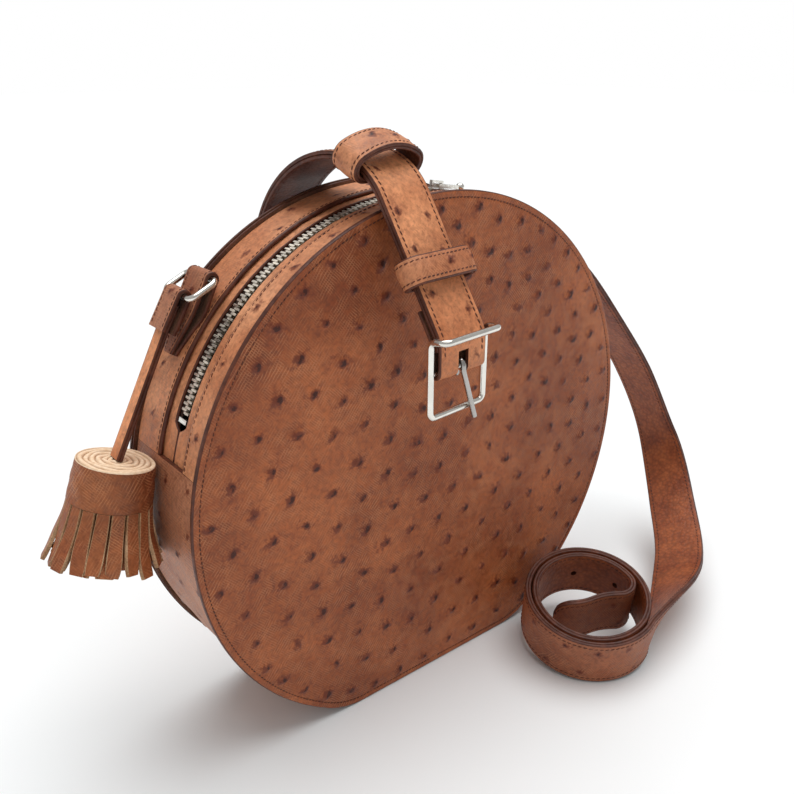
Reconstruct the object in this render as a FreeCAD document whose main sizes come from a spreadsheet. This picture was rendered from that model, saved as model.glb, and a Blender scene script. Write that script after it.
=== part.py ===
import FreeCAD, Part
import math
import os
import re
import Sketcher
from FreeCAD import Placement, Rotation, Vector

# Round zip-top leather bag with a buckled short strap, a coiled long strap and a tassel.
# Millimetres, +Z up. The origin is the middle of the flat base; the front panel faces -Y.

doc = FreeCAD.newDocument("CircleBag")
sheet = doc.addObject("Spreadsheet::Sheet", "Sizes")

SIZES = [
    ("bag_radius", 105.0, "outer radius of the round panels"),
    ("base_cut", 11.0, "part of the round cut off by the flat base"),
    ("centre_height", "=bag_radius - base_cut", "height of the panels' centre above the base"),
    ("corner_radius", 32.0, "radius between the round and the flat base"),
    ("bag_depth", 50.0, "front face to back face"),
    ("panel_thickness", 1.6, "leather of the front and back panels"),
    ("panel_edge_round", 0.5, "rounding of the painted panel edge"),
    ("welt_thickness", 1.0, "leather welt sewn between panel and gusset"),
    ("welt_inset", 0.4, "welt edge inside the panel edge"),
    ("edge_lip", 1.6, "how far the panel edge stands out from the gusset"),
    ("gusset_thickness", 1.6, "leather of the gusset"),
    ("flange_thickness", 1.0, "turned-in and skived seam of the gusset"),
    ("seam_width", 8.0, "width of the turned-in seam"),
    ("lining_thickness", 0.6, "lining cloth"),
    ("board_clearance", 0.4, "board and lining edge to the seam"),
    ("layer_gap", 0.1, "gap between nested layers"),
    ("base_board_thickness", 1.6, "loose board in the base"),
    ("base_board_length", 70.0, "loose board along the base"),
    ("zip_setback", 22.2, "front face to the middle of the zip"),
    ("zip_half_angle", 68.8, "zip end, from the top, each way"),
    ("seam_half_angle", 77.0, "seam between zip gusset and base gusset"),
    ("zip_opening", 7.2, "gap between the two facings"),
    ("front_facing_width", 5.6, "shown width of the front facing"),
    ("back_facing_width", 4.0, "shown width of the back facing"),
    ("facing_underlap", 2.4, "facing tucked under the gusset strip"),
    ("facing_thickness", 1.2, "leather of the facings"),
    ("tape_width", 8.5, "zip tape, each side"),
    ("tape_thickness", 0.5, "zip tape"),
    ("chain_width", 5.0, "zip chain over both rows"),
    ("tooth_pitch", 2.0, "distance between teeth of one row"),
    ("tooth_clearance", 0.1, "gap between neighbouring teeth"),
    ("tooth_thickness", 2.4, "tooth through the tape"),
    ("tooth_reach", 0.7, "tooth head past the middle of the chain"),
    ("tooth_shoulder", 0.2, "widest part of a tooth from the middle of the chain"),
    ("tooth_root_share", 0.8, "width of a tooth at its root, share of its widest"),
    ("tooth_head_share", 0.6, "width of a tooth at its head, share of its widest"),
    ("stop_length", 1.6, "end stop along the chain"),
    ("slider_length", 10.0, "zip slider along the chain"),
    ("slider_width", 7.4, "zip slider across the chain"),
    ("slider_plate", 1.2, "slider's top plate"),
    ("slider_lift", 0.3, "slider plate above the facings"),
    ("slider_wall", 0.5, "slider's side flange"),
    ("slider_clearance", 0.25, "slider flange to the teeth and the tape"),
    ("slider_left_angle", 2.0, "left slider, from the top"),
    ("slider_spacing", 1.0, "between the two sliders"),
    ("slider_right_angle", "=slider_left_angle + (slider_length + slider_spacing) / "
     "(bag_radius - edge_lip - gusset_thickness - layer_gap) * 57.29578", "right slider, from the top"),
    ("bridge_width", 1.6, "slider's bridge across"),
    ("bridge_wall", 0.8, "slider's bridge thickness"),
    ("bridge_span", 4.0, "clear length under the bridge"),
    ("pull_bar", 1.4, "diameter of the pull's cross bar"),
    ("pull_clearance", 0.35, "pull to the slider's plate and bridge"),
    ("pull_arm", 1.4, "width of one arm of the pull"),
    ("pull_eye", 4.4, "length of the pull's eye"),
    ("pull_length", 14.0, "pivot to the end of the pull"),
    ("pull_stem", 1.8, "width of the pull's stem"),
    ("pull_ball", 3.4, "diameter of the pull's ball end"),
    ("strap_width", 22.5, "short and long strap"),
    ("strap_leather", 1.3, "each of the short strap's two layers"),
    ("strap_yaw", 6.0, "short strap turned about the vertical"),
    ("strap_side", 23.6, "short strap left of the middle"),
    ("strap_rise", 14.0, "short strap's arch above the top of the bag"),
    ("strap_top", "=centre_height + bag_radius + strap_rise", "top of the short strap's arch"),
    ("arch_forward", 5.5, "arch top in front of the middle"),
    ("arch_back_radius", 50.0, "outer radius of the arch at the back"),
    ("arch_front_radius", 27.0, "outer radius of the arch at the front"),
    ("arch_foot_radius", 30.0, "bend onto the back panel"),
    ("strap_fall_angle", 58.0, "slope of the strap's front run"),
    ("strap_run", 47.0, "straight length of the front run"),
    ("strap_end_radius", 12.0, "bend down to the buckle"),
    ("strap_end_drop", 7.3, "bend down to the buckle bar"),
    ("strap_turn_back", 9.0, "turned-back end beyond the bend"),
    ("strap_foot_drop", 121.0, "lower end of the foot below the top of the bag"),
    ("strap_foot_end", "=centre_height + bag_radius - strap_foot_drop", "lower end of the foot"),
    ("strap_foot_gap", 0.2, "foot to the back panel"),
    ("prong_slot_width", 5.0, "slot for the prong in the fold"),
    ("prong_slot_rise", 7.0, "slot above the buckle bar"),
    ("keeper_thickness", 2.2, "leather of both keepers"),
    ("keeper_room", 27.0, "clear width inside a keeper"),
    ("keeper_clearance", 0.3, "keeper to the strap's underside"),
    ("upper_keeper_width", 12.0, "upper keeper along the strap"),
    ("upper_keeper_angle", 22.0, "upper keeper down from the arch top"),
    ("upper_keeper_corner", 3.2, "inner corner radius of the upper keeper"),
    ("lower_keeper_width", 9.4, "lower keeper along the strap"),
    ("lower_keeper_place", 26.5, "lower keeper along the front run"),
    ("lower_keeper_height", 5.6, "clear height inside the lower keeper"),
    ("buckle_wire", 2.4, "diameter of the buckle's wire"),
    ("buckle_width", 29.0, "outer width of the buckle"),
    ("buckle_bar", 2.0, "diameter of the buckle's middle bar"),
    ("buckle_rise", 12.0, "middle bar to the upper bar"),
    ("buckle_drop", 15.4, "middle bar to the lower bar"),
    ("buckle_corner", 2.2, "corner radius of the wire"),
    ("buckle_reach", 6.6, "upper bar in front of the side rails"),
    ("buckle_bend_radius", 2.6, "forward bend at the top of the side rails"),
    ("buckle_bend_angle", 84.0, "forward bend at the top of the side rails"),
    ("fold_clearance", 0.15, "leather fold round a bar"),
    ("prong_wire", 1.9, "diameter of the prong"),
    ("prong_eye", 3.0, "inner diameter of the prong's eye"),
    ("prong_slew", 20.0, "prong leaning to the right"),
    ("prong_overhang", 4.0, "prong past the lower bar"),
    ("prong_bend", 6.0, "bend where the prong starts to lean"),
    ("ring_wire", 2.2, "diameter of the ring wire"),
    ("ring_span", 10.8, "between the two bars of a ring"),
    ("ring_corner", 2.6, "corner radius of a ring"),
    ("ring_slack", 0.6, "ring longer than what it holds"),
    ("ring_dip", 26.0, "left ring below the horizontal"),
    ("ring_angle", 43.5, "tab's fold from the top"),
    ("ring_reach", 5.9, "tab's fold axis above the gusset"),
    ("tab_leather", 1.3, "leather of the ring tabs"),
    ("tab_width", 14.0, "left tab"),
    ("tab_tip_width", 5.0, "left tab at its sewn tip"),
    ("tab_tip_angle", 58.5, "sewn tip from the top"),
    ("tab_lift_angle", 50.5, "tab leaves the gusset"),
    ("tab_bend", 20.0, "bend where the tab leaves the gusset"),
    ("tab_set_back", 13.0, "left tab behind the middle"),
    ("right_tab_width", 20.0, "right tab"),
    ("right_tab_tip_width", 10.0, "right tab at its sewn tip"),
    ("right_tab_set_back", 11.5, "right tab behind the middle"),
    ("right_ring_dip", 22.0, "right ring below the horizontal"),
    ("loop_leather", 1.4, "leather loop of the tassel"),
    ("loop_width", 11.0, "tassel loop along the ring"),
    ("loop_length", 13.0, "tassel loop below the ring"),
    ("thong_width", 6.0, "tassel thong"),
    ("thong_thickness", 2.2, "tassel thong, two layers"),
    ("thong_length", 57.9, "ring to the tassel's rolled top"),
    ("thong_lean", 30.3, "thong out from the vertical"),
    ("thong_shift", 5.0, "thong towards the front over its length"),
    ("roll_radius", 12.8, "rolled top of the tassel"),
    ("roll_height", 14.0, "uncut part of the tassel"),
    ("roll_flare", 1.0, "rolled top wider at its lower edge"),
    ("roll_lean", 15.0, "tassel out from the vertical"),
    ("fringe_length", 21.0, "cut strips of the tassel"),
    ("fringe_radius", 19.5, "strips' lower ends from the axis"),
    ("fringe_bow", 0.35, "share of the strips' flare at half their length"),
    ("fringe_inner_step", 2.8, "inner layer of strips inside the outer one"),
    ("fringe_thickness", 1.4, "leather of the strips"),
    ("fringe_count", 18, "strips in the outer layer"),
    ("fringe_inner_count", 13, "strips in the inner layer"),
    ("fringe_gap", 0.7, "slit between strips"),
    ("long_strap_thickness", 2.4, "long strap"),
    ("strap_tail", 26.0, "sewn-back end at the right ring"),
    ("strap_tip_round", 8.0, "corner radius of the strap's ends"),
    ("strap_fold_run", 28.0, "straight part beside the sewn-back end"),
    ("strap_leave_angle", 39.0, "long strap below the horizontal at the ring"),
    ("coil_radius", 27.0, "outer turn of the coil, middle of the leather"),
    ("coil_step", 1.6, "each half turn is smaller by this"),
    ("coil_tilt", 13.5, "coil tipped towards the front left"),
    ("coil_yaw", 39.1, "side that the coil tips to, from the front towards the left"),
    ("coil_join_angle", 33.0, "strap joins the coil in front of its right side"),
    ("coil_last_turn", 122.0, "last part turn before the free end"),
    ("coil_turn_radius", 7.0, "turn of the free end inside the coil"),
    ("coil_turn_angle", 115.0, "turn of the free end inside the coil"),
    ("tail_bow_radius", 28.0, "first bow of the free end"),
    ("tail_bow_angle", 26.0, "first bow of the free end"),
    ("tail_hook_radius", 22.0, "second bow of the free end"),
    ("tail_hook_angle", 38.0, "second bow of the free end"),
    ("tail_run", 2.0, "straight tip of the free end"),
    ("strap_hole", 2.8, "punched holes near the free end"),
    ("first_hole_turn", 52.0, "first hole along the last part turn"),
    ("second_hole_turn", 105.0, "second hole along the last part turn"),
    ("coil_right", 58.7, "coil centre to the right"),
    ("coil_front", 58.5, "coil centre to the front"),
    ("coil_floor_gap", 0.3, "lowest edge of the coil above the floor"),
]

for row, (alias, number, note) in enumerate(SIZES, start=1):
    sheet.set("A%d" % row, alias)
    sheet.set("B%d" % row, str(number))
    sheet.set("C%d" % row, note)
    sheet.setAlias("B%d" % row, alias)
doc.recompute()

ALIASES = {alias for alias, number, note in SIZES}
nodes = []


def size(alias):
    """One number from the sheet."""
    return float(sheet.get(alias))


def bound(text):
    """The same formula for another object's expression, with the sheet's name before each alias."""
    return re.sub(r"[a-z_]+", lambda m: "Sizes." + m.group(0) if m.group(0) in ALIASES else m.group(0), text)


def worth(text):
    """The number that a formula of aliases gives now."""
    return float(sheet.evalExpression(text))


# Formulas shared by the pieces
FRONT = "(0 - bag_depth / 2)"
BACK = "(bag_depth / 2)"
SEAM = "(panel_thickness + welt_thickness)"
FRONT_SEAM = "(" + FRONT + " + " + SEAM + ")"
BACK_SEAM = "(" + BACK + " - " + SEAM + ")"
GUSSET = "(bag_radius - edge_lip)"
WALL = "(" + GUSSET + " - gusset_thickness)"
FACING_TOP = "(" + WALL + " - layer_gap)"
FACING_LOW = "(" + FACING_TOP + " - facing_thickness)"
TAPE_TOP = "(" + FACING_LOW + " - layer_gap)"
TAPE_LOW = "(" + TAPE_TOP + " - tape_thickness)"
CHAIN = "(" + TAPE_TOP + " - tape_thickness / 2)"
ZIP = "(" + FRONT + " + zip_setback)"
FRONT_STRIP_EDGE = "(" + ZIP + " - zip_opening / 2 - front_facing_width)"
BACK_STRIP_EDGE = "(" + ZIP + " + zip_opening / 2 + back_facing_width)"
STRIP_ANGLE = "(2 * seam_half_angle - 2 * layer_gap / " + GUSSET + " * 57.29578)"
SLIDER_FLOOR = "(" + FACING_TOP + " + slider_lift)"
SLIDER_TOP = "(" + SLIDER_FLOOR + " + slider_plate)"
PIVOT = "(" + SLIDER_TOP + " + pull_clearance + pull_bar / 2)"


def new_body(label):
    body = doc.addObject("PartDesign::Body", label)
    body.Label = label
    nodes.append(body)
    return body


def feature(label, shape, place=Placement()):
    """A sub-part whose shape the code above it has made from the sheet's numbers."""
    part = doc.addObject("Part::Feature", label)
    part.Label = label
    part.Shape = shape
    part.Placement = place
    nodes.append(part)
    return part


def new_sketch(body, name, role, shift_axis=None, shift=None):
    """A sketch on one of the body's own origin planes, moved by a formula if one is given."""
    sketch = body.newObject("Sketcher::SketchObject", name)
    plane = [item for item in body.Origin.OriginFeatures if item.Role == role][0]
    sketch.AttachmentSupport = (plane, [""])
    sketch.MapMode = "FlatFace"
    if shift is not None:
        sketch.setExpression("AttachmentOffset.Base." + shift_axis, bound(shift))
    return sketch


def hold(sketch, kind, elements, text):
    """A dimension of a sketch bound to a formula."""
    index = sketch.addConstraint(Sketcher.Constraint(kind, *elements, worth(text)))
    sketch.setExpression("Constraints[%d]" % index, bound(text))


def polygon(sketch, corners):
    """A closed polygon whose corners are formulas of the sheet."""
    points = [Vector(worth(x), worth(y), 0) for x, y in corners]
    first = sketch.GeometryCount
    count = len(corners)
    for i in range(count):
        sketch.addGeometry(Part.LineSegment(points[i], points[(i + 1) % count]))
    for i in range(count):
        sketch.addConstraint(Sketcher.Constraint("Coincident", first + i, 2, first + (i + 1) % count, 1))
    for i, (x, y) in enumerate(corners):
        hold(sketch, "DistanceX", (-1, 1, first + i, 1), x)
        hold(sketch, "DistanceY", (-1, 1, first + i, 1), y)


def rectangle(sketch, left, right, low, high):
    polygon(sketch, [(left, low), (right, low), (right, high), (left, high)])


def outline(sketch, inset):
    """The bag's outline, a circle with a flat base and round corners, moved inwards by a formula."""
    gap = worth(inset)
    radius = size("bag_radius") - gap
    corner = size("corner_radius") - gap
    height = size("centre_height")
    rise = height - size("corner_radius")
    reach = size("bag_radius") - size("corner_radius")
    side = math.sqrt(reach * reach - rise * rise)
    angle = math.atan2(-rise, side)
    up = Vector(0, 0, 1)
    first = sketch.GeometryCount
    sketch.addGeometry(Part.LineSegment(Vector(-side, gap, 0), Vector(side, gap, 0)))
    right = Part.Circle(Vector(side, gap + corner, 0), up, corner)
    sketch.addGeometry(Part.ArcOfCircle(right, -math.pi / 2, angle))
    round_top = Part.Circle(Vector(0, height, 0), up, radius)
    sketch.addGeometry(Part.ArcOfCircle(round_top, angle, math.pi - angle))
    left = Part.Circle(Vector(-side, gap + corner, 0), up, corner)
    sketch.addGeometry(Part.ArcOfCircle(left, math.pi - angle, 1.5 * math.pi))
    for i in range(4):
        sketch.addConstraint(Sketcher.Constraint("Tangent", first + i, 2, first + (i + 1) % 4, 1))
    sketch.addConstraint(Sketcher.Constraint("Horizontal", first))
    sketch.addConstraint(Sketcher.Constraint("Equal", first + 1, first + 3))
    sketch.addConstraint(Sketcher.Constraint("PointOnObject", first + 2, 3, -2))
    hold(sketch, "DistanceY", (-1, 1, first + 2, 3), "centre_height")
    hold(sketch, "Radius", (first + 2,), "bag_radius - (" + inset + ")")
    hold(sketch, "Radius", (first + 1,), "corner_radius - (" + inset + ")")
    hold(sketch, "DistanceY", (-1, 1, first, 1), inset)


def pad(body, sketch, name, length, reverse=False, middle=False):
    item = body.newObject("PartDesign::Pad", name)
    item.Profile = sketch
    item.setExpression("Length", bound(length))
    item.Reversed = reverse
    item.Midplane = middle
    doc.recompute()
    return item


def plate(body, name, insets, back, thickness):
    """A flat layer of the bag's outline, or a ring of it, from its back face towards the front."""
    sketch = new_sketch(body, name + "_sketch", "XZ_Plane", "z", "0 - (" + back + ")")
    for inset in insets:
        outline(sketch, inset)
    return pad(body, sketch, name, thickness)


def band(body, name, corners, angle):
    """A profile in depth and radius, swung both ways from the top about the bag's axis."""
    sketch = new_sketch(body, name + "_sketch", "YZ_Plane", "y", "centre_height")
    polygon(sketch, corners)
    item = body.newObject("PartDesign::Revolution", name)
    item.Profile = sketch
    item.ReferenceAxis = (sketch, ["H_Axis"])
    item.setExpression("Angle", bound(angle))
    item.Midplane = True
    doc.recompute()
    return item


def strip_corners(front, back, low, high):
    return [(front, low), (back, low), (back, high), (front, high)]


def cut_top(body, name):
    """Takes away the sector above the two seams of the base gusset."""
    before = body.Shape.Volume
    sketch = new_sketch(body, name + "_sketch", "XZ_Plane")
    side = "(2 * bag_radius * sin(seam_half_angle))"
    low = "(centre_height + 2 * bag_radius * cos(seam_half_angle))"
    high = "(centre_height + 2 * bag_radius)"
    polygon(sketch, [("0", "centre_height"), (side, low), (side, high), ("0 - " + side, high), ("0 - " + side, low)])
    item = body.newObject("PartDesign::Pocket", name)
    item.Profile = sketch
    item.Type = "ThroughAll"
    item.Midplane = True
    doc.recompute()
    if body.Shape.Volume > 0.9 * before:
        raise RuntimeError(name + " cut nothing")


# Front and back panels, each with a rounded outer edge
def panel(label, back, face):
    body = new_body(label)
    base = plate(body, label + "_pad", ["0"], back, "panel_thickness")
    level = worth(face)
    names = []
    for i, edge in enumerate(base.Shape.Edges, start=1):
        if abs(edge.BoundBox.YMin - level) < 1e-6 and abs(edge.BoundBox.YMax - level) < 1e-6:
            names.append("Edge%d" % i)
    rounding = body.newObject("PartDesign::Fillet", label + "_round")
    rounding.Base = (base, names)
    rounding.setExpression("Radius", bound("panel_edge_round"))
    doc.recompute()


panel("front_panel", FRONT + " + panel_thickness", FRONT)
panel("back_panel", BACK, BACK)

# Leather welts between the panels and the gusset, seen as the second dark edge line
welt = ["welt_inset", "edge_lip + seam_width"]
plate(new_body("front_welt"), "front_welt_pad", welt, FRONT_SEAM, "welt_thickness")
plate(new_body("back_welt"), "back_welt_pad", welt, BACK_SEAM + " + welt_thickness", "welt_thickness")

# Stiffening boards inside the seams, and the lining cloth over them
board_inset = ["edge_lip + seam_width + board_clearance"]
board_depth = "welt_thickness + flange_thickness - layer_gap"
plate(new_body("front_stiffener"), "front_stiffener_pad", board_inset,
      FRONT_SEAM + " + flange_thickness - layer_gap", board_depth)
plate(new_body("back_stiffener"), "back_stiffener_pad", board_inset, BACK + " - panel_thickness", board_depth)
lining_inset = ["edge_lip + gusset_thickness + board_clearance"]
plate(new_body("front_lining"), "front_lining_pad", lining_inset,
      FRONT_SEAM + " + flange_thickness + lining_thickness", "lining_thickness")
plate(new_body("back_lining"), "back_lining_pad", lining_inset, BACK_SEAM + " - flange_thickness", "lining_thickness")

# Base gusset: the wall round the bottom with a turned-in seam at the front and at the back
body = new_body("base_gusset")
plate(body, "base_wall", ["edge_lip", "edge_lip + gusset_thickness"], BACK_SEAM, "bag_depth - 2 * " + SEAM)
seam_ring = ["edge_lip", "edge_lip + seam_width"]
plate(body, "base_front_seam", seam_ring, FRONT_SEAM + " + flange_thickness", "flange_thickness")
plate(body, "base_back_seam", seam_ring, BACK_SEAM, "flange_thickness")
cut_top(body, "base_top_cut")

# Lining of the base gusset and the loose board on it
body = new_body("gusset_lining")
inner_depth = "(bag_depth - 2 * " + SEAM + " - 2 * flange_thickness - 2 * lining_thickness - 2 * layer_gap)"
first_layer = "edge_lip + gusset_thickness + layer_gap"
plate(body, "gusset_lining_pad", [first_layer, first_layer + " + lining_thickness"],
      inner_depth + " / 2", inner_depth)
cut_top(body, "gusset_lining_cut")

board = doc.addObject("Part::Box", "base_board")
board.Label = "base_board"
board.setExpression("Length", bound("base_board_length"))
board.setExpression("Width", bound(inner_depth + " - 2 * board_clearance"))
board.setExpression("Height", bound("base_board_thickness"))
board.setExpression("Placement.Base.x", bound("0 - base_board_length / 2"))
board.setExpression("Placement.Base.y", bound("board_clearance - " + inner_depth + " / 2"))
board.setExpression("Placement.Base.z", bound("edge_lip + gusset_thickness + lining_thickness + 2 * layer_gap"))
nodes.append(board)

# Zip gusset: a strip on each side of the zip, with the seam turned in at the panel
strip_front = FRONT_SEAM
seam_edge = FRONT_SEAM + " + flange_thickness"
seam_low = GUSSET + " - seam_width"
band(new_body("front_zip_strip"), "front_zip_strip_turn",
     [(strip_front, seam_low), (seam_edge, seam_low), (seam_edge, WALL),
      (FRONT_STRIP_EDGE, WALL), (FRONT_STRIP_EDGE, GUSSET), (strip_front, GUSSET)], STRIP_ANGLE)
seam_edge = BACK_SEAM + " - flange_thickness"
band(new_body("back_zip_strip"), "back_zip_strip_turn",
     [(BACK_SEAM, seam_low), (BACK_SEAM, GUSSET), (BACK_STRIP_EDGE, GUSSET),
      (BACK_STRIP_EDGE, WALL), (seam_edge, WALL), (seam_edge, seam_low)], STRIP_ANGLE)


# Facings beside the zip; past the zip's ends they close up to the middle line
def facing(label, outer, inner, edge, cleared):
    body = new_body(label)
    band(body, label + "_turn", strip_corners(outer, inner, FACING_LOW, FACING_TOP), STRIP_ANGLE)
    before = body.Shape.Volume
    sketch = new_sketch(body, label + "_slot_sketch", "YZ_Plane", "y", "centre_height")
    polygon(sketch, strip_corners(edge, cleared, FACING_LOW + " - 1", FACING_TOP + " + 1"))
    slot = body.newObject("PartDesign::Groove", label + "_slot")
    slot.Profile = sketch
    slot.ReferenceAxis = (sketch, ["H_Axis"])
    slot.setExpression("Angle", bound("2 * zip_half_angle + 2 * stop_length / " + GUSSET + " * 57.29578"))
    slot.Midplane = True
    doc.recompute()
    if body.Shape.Volume > 0.95 * before:
        raise RuntimeError(label + " slot cut nothing")


facing("front_zip_facing", FRONT_STRIP_EDGE + " - facing_underlap", ZIP + " - layer_gap / 2",
       ZIP + " - zip_opening / 2", ZIP + " + zip_opening / 2")
facing("back_zip_facing", ZIP + " + layer_gap / 2", BACK_STRIP_EDGE + " + facing_underlap",
       ZIP + " - zip_opening / 2", ZIP + " + zip_opening / 2")

# Zip tapes under the facings
tape_angle = "(2 * seam_half_angle - 2)"
tape_edge = "(chain_width / 2 + layer_gap / 2)"
band(new_body("front_zip_tape"), "front_zip_tape_turn",
     strip_corners(ZIP + " - " + tape_edge + " - tape_width", ZIP + " - " + tape_edge, TAPE_LOW, TAPE_TOP), tape_angle)
band(new_body("back_zip_tape"), "back_zip_tape_turn",
     strip_corners(ZIP + " + " + tape_edge, ZIP + " + " + tape_edge + " + tape_width", TAPE_LOW, TAPE_TOP), tape_angle)

# Zip teeth: two rows of metal teeth whose heads pass each other, half a pitch apart
axle = Vector(0, 0, size("centre_height"))
zip_y = worth(ZIP)
chain_radius = worth(CHAIN)
tooth_step = math.degrees(size("tooth_pitch") / chain_radius)
stop_angle = math.degrees(size("stop_length") / chain_radius)
tooth_count = int((2 * size("zip_half_angle") - 2 * stop_angle) / tooth_step)
neck = (size("tooth_pitch") / 2 - size("tooth_clearance")) / 2


def zip_tooth(side):
    """One tooth at the top of the chain, its root towards its own tape."""
    root = size("chain_width") / 2
    head = -size("tooth_reach")
    shoulder = size("tooth_shoulder")
    root_half = size("tooth_root_share") * neck
    head_half = size("tooth_head_share") * neck
    plan = [(-root_half, root), (root_half, root), (neck, shoulder),
            (head_half, head), (-head_half, head), (-neck, shoulder)]
    low = size("centre_height") + chain_radius - size("tooth_thickness") / 2
    corners = [Vector(along, zip_y + side * across, low) for along, across in plan]
    face = Part.Face(Part.makePolygon(corners + corners[:1]))
    return face.extrude(Vector(0, 0, size("tooth_thickness")))


def tooth_row(side, shift):
    tooth = zip_tooth(side)
    row = []
    for i in range(tooth_count):
        copy = tooth.copy()
        copy.rotate(axle, Vector(0, 1, 0), (i - (tooth_count - 1) / 2 + shift) * tooth_step)
        row.append(copy)
    return Part.makeCompound(row)


feature("front_zip_teeth", tooth_row(-1, -0.25))
feature("back_zip_teeth", tooth_row(1, 0.25))

# End stops across both rows
stops = []
for side in (-1, 1):
    stop = Part.makeBox(size("stop_length"), size("chain_width"), size("tooth_thickness"),
                        Vector(-size("stop_length") / 2, zip_y - size("chain_width") / 2,
                               size("centre_height") + chain_radius - size("tooth_thickness") / 2))
    stop.rotate(axle, Vector(0, 1, 0), side * size("zip_half_angle"))
    stops.append(stop)
feature("zip_end_stops", Part.makeCompound(stops))


# Sliders: a shouldered plate over the teeth, a flange down each side and a bridge for the pull
def place_on_chain(body, angle):
    """Turns a body from the top of the bag to its place along the zip."""
    body.Placement = Placement(Vector(0, zip_y, 0), Rotation(Vector(0, 1, 0), size(angle)), axle)


def slider(label, mouth, angle):
    body = new_body(label)
    end = "%d * slider_length / 2" % mouth
    tail = "%d * slider_length / 2" % -mouth
    shoulder = "%d * (slider_length / 2 - slider_plate)" % mouth
    waist = "%d * slider_length / 8" % -mouth
    wide = "slider_width / 2"
    narrow = "(slider_width / 2 - slider_wall)"
    floor = "centre_height + " + SLIDER_FLOOR
    sketch = new_sketch(body, label + "_plate_sketch", "XY_Plane", "z", floor)
    polygon(sketch, [(end, "0 - " + narrow), (end, narrow), (shoulder, wide), (waist, wide),
                     (tail, narrow), (tail, "0 - " + narrow), (waist, "0 - " + wide), (shoulder, "0 - " + wide)])
    pad(body, sketch, label + "_plate", "slider_plate")
    inner = "(chain_width / 2 + slider_clearance)"
    outer = "(chain_width / 2 + slider_clearance + slider_wall)"
    half = "slider_length / 2"
    for name, low, high in (("front", "0 - " + outer, "0 - " + inner), ("back", inner, outer)):
        sketch = new_sketch(body, label + "_" + name + "_sketch", "XY_Plane", "z", floor)
        rectangle(sketch, "0 - " + half + " + slider_wall", half + " - slider_wall", low, high)
        pad(body, sketch, label + "_" + name, "slider_lift + facing_thickness + layer_gap - slider_clearance", True)
    sketch = new_sketch(body, label + "_bridge_sketch", "XZ_Plane", "y", "centre_height")
    foot = SLIDER_TOP + " - slider_plate / 2"
    under = SLIDER_TOP + " + 2 * pull_clearance + pull_bar"
    over = under + " + bridge_wall"
    span = "bridge_span / 2"
    wall = "(bridge_span / 2 + bridge_wall)"
    polygon(sketch, [("0 - " + wall, foot), ("0 - " + wall, over), (wall, over), (wall, foot),
                     (span, foot), (span, under), ("0 - " + span, under), ("0 - " + span, foot)])
    pad(body, sketch, label + "_bridge", "bridge_width", middle=True)
    place_on_chain(body, angle)


# Pulls: a cross bar under the bridge, an eye round it, a slim stem and a ball end
def pull(label, way, angle):
    body = new_body(label)
    sketch = new_sketch(body, label + "_plan_sketch", "XY_Plane", "z", "centre_height + " + PIVOT)
    inner = "(bridge_width / 2 + pull_clearance)"
    outer = "(bridge_width / 2 + pull_clearance + pull_arm)"
    stem = "pull_stem / 2"
    start = "%d * (0 - pull_bar / 2)" % way
    eye_start = "%d * pull_bar / 2" % way
    eye_end = "%d * pull_eye" % way
    shoulder = "%d * (pull_eye + pull_arm)" % way
    neck_end = "%d * (pull_eye + 2 * pull_arm)" % way
    tip = "%d * (pull_length - pull_ball / 2)" % way
    polygon(sketch, [(start, "0 - " + outer), (shoulder, "0 - " + outer), (neck_end, "0 - " + stem),
                     (tip, "0 - " + stem), (tip, stem), (neck_end, stem), (shoulder, outer), (start, outer)])
    rectangle(sketch, eye_start, eye_end, "0 - " + inner, inner)
    pad(body, sketch, label + "_plan", "pull_bar", middle=True)
    sketch = new_sketch(body, label + "_ball_sketch", "XZ_Plane", "y", "centre_height + " + PIVOT)
    radius = size("pull_ball") / 2
    centre = Vector(way * (size("pull_length") - radius), 0, 0)
    ball = Part.Circle(centre, Vector(0, 0, 1), radius)
    sketch.addGeometry(Part.ArcOfCircle(ball, 0, math.pi))
    sketch.addGeometry(Part.LineSegment(centre - Vector(radius, 0, 0), centre + Vector(radius, 0, 0)))
    sketch.addConstraint(Sketcher.Constraint("Coincident", 0, 2, 1, 1))
    sketch.addConstraint(Sketcher.Constraint("Coincident", 1, 2, 0, 1))
    sketch.addConstraint(Sketcher.Constraint("PointOnObject", 0, 3, -1))
    sketch.addConstraint(Sketcher.Constraint("PointOnObject", 1, 1, -1))
    sketch.addConstraint(Sketcher.Constraint("PointOnObject", 1, 2, -1))
    hold(sketch, "Radius", (0,), "pull_ball / 2")
    hold(sketch, "DistanceX", (-1, 1, 0, 3), tip)
    turn = body.newObject("PartDesign::Revolution", label + "_ball")
    turn.Profile = sketch
    turn.ReferenceAxis = (sketch, ["H_Axis"])
    turn.Angle = 360
    doc.recompute()
    place_on_chain(body, angle)


slider("left_zip_slider", 1, "slider_left_angle")
pull("left_zip_pull", -1, "slider_left_angle")
slider("right_zip_slider", -1, "slider_right_angle")
pull("right_zip_pull", 1, "slider_right_angle")


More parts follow.
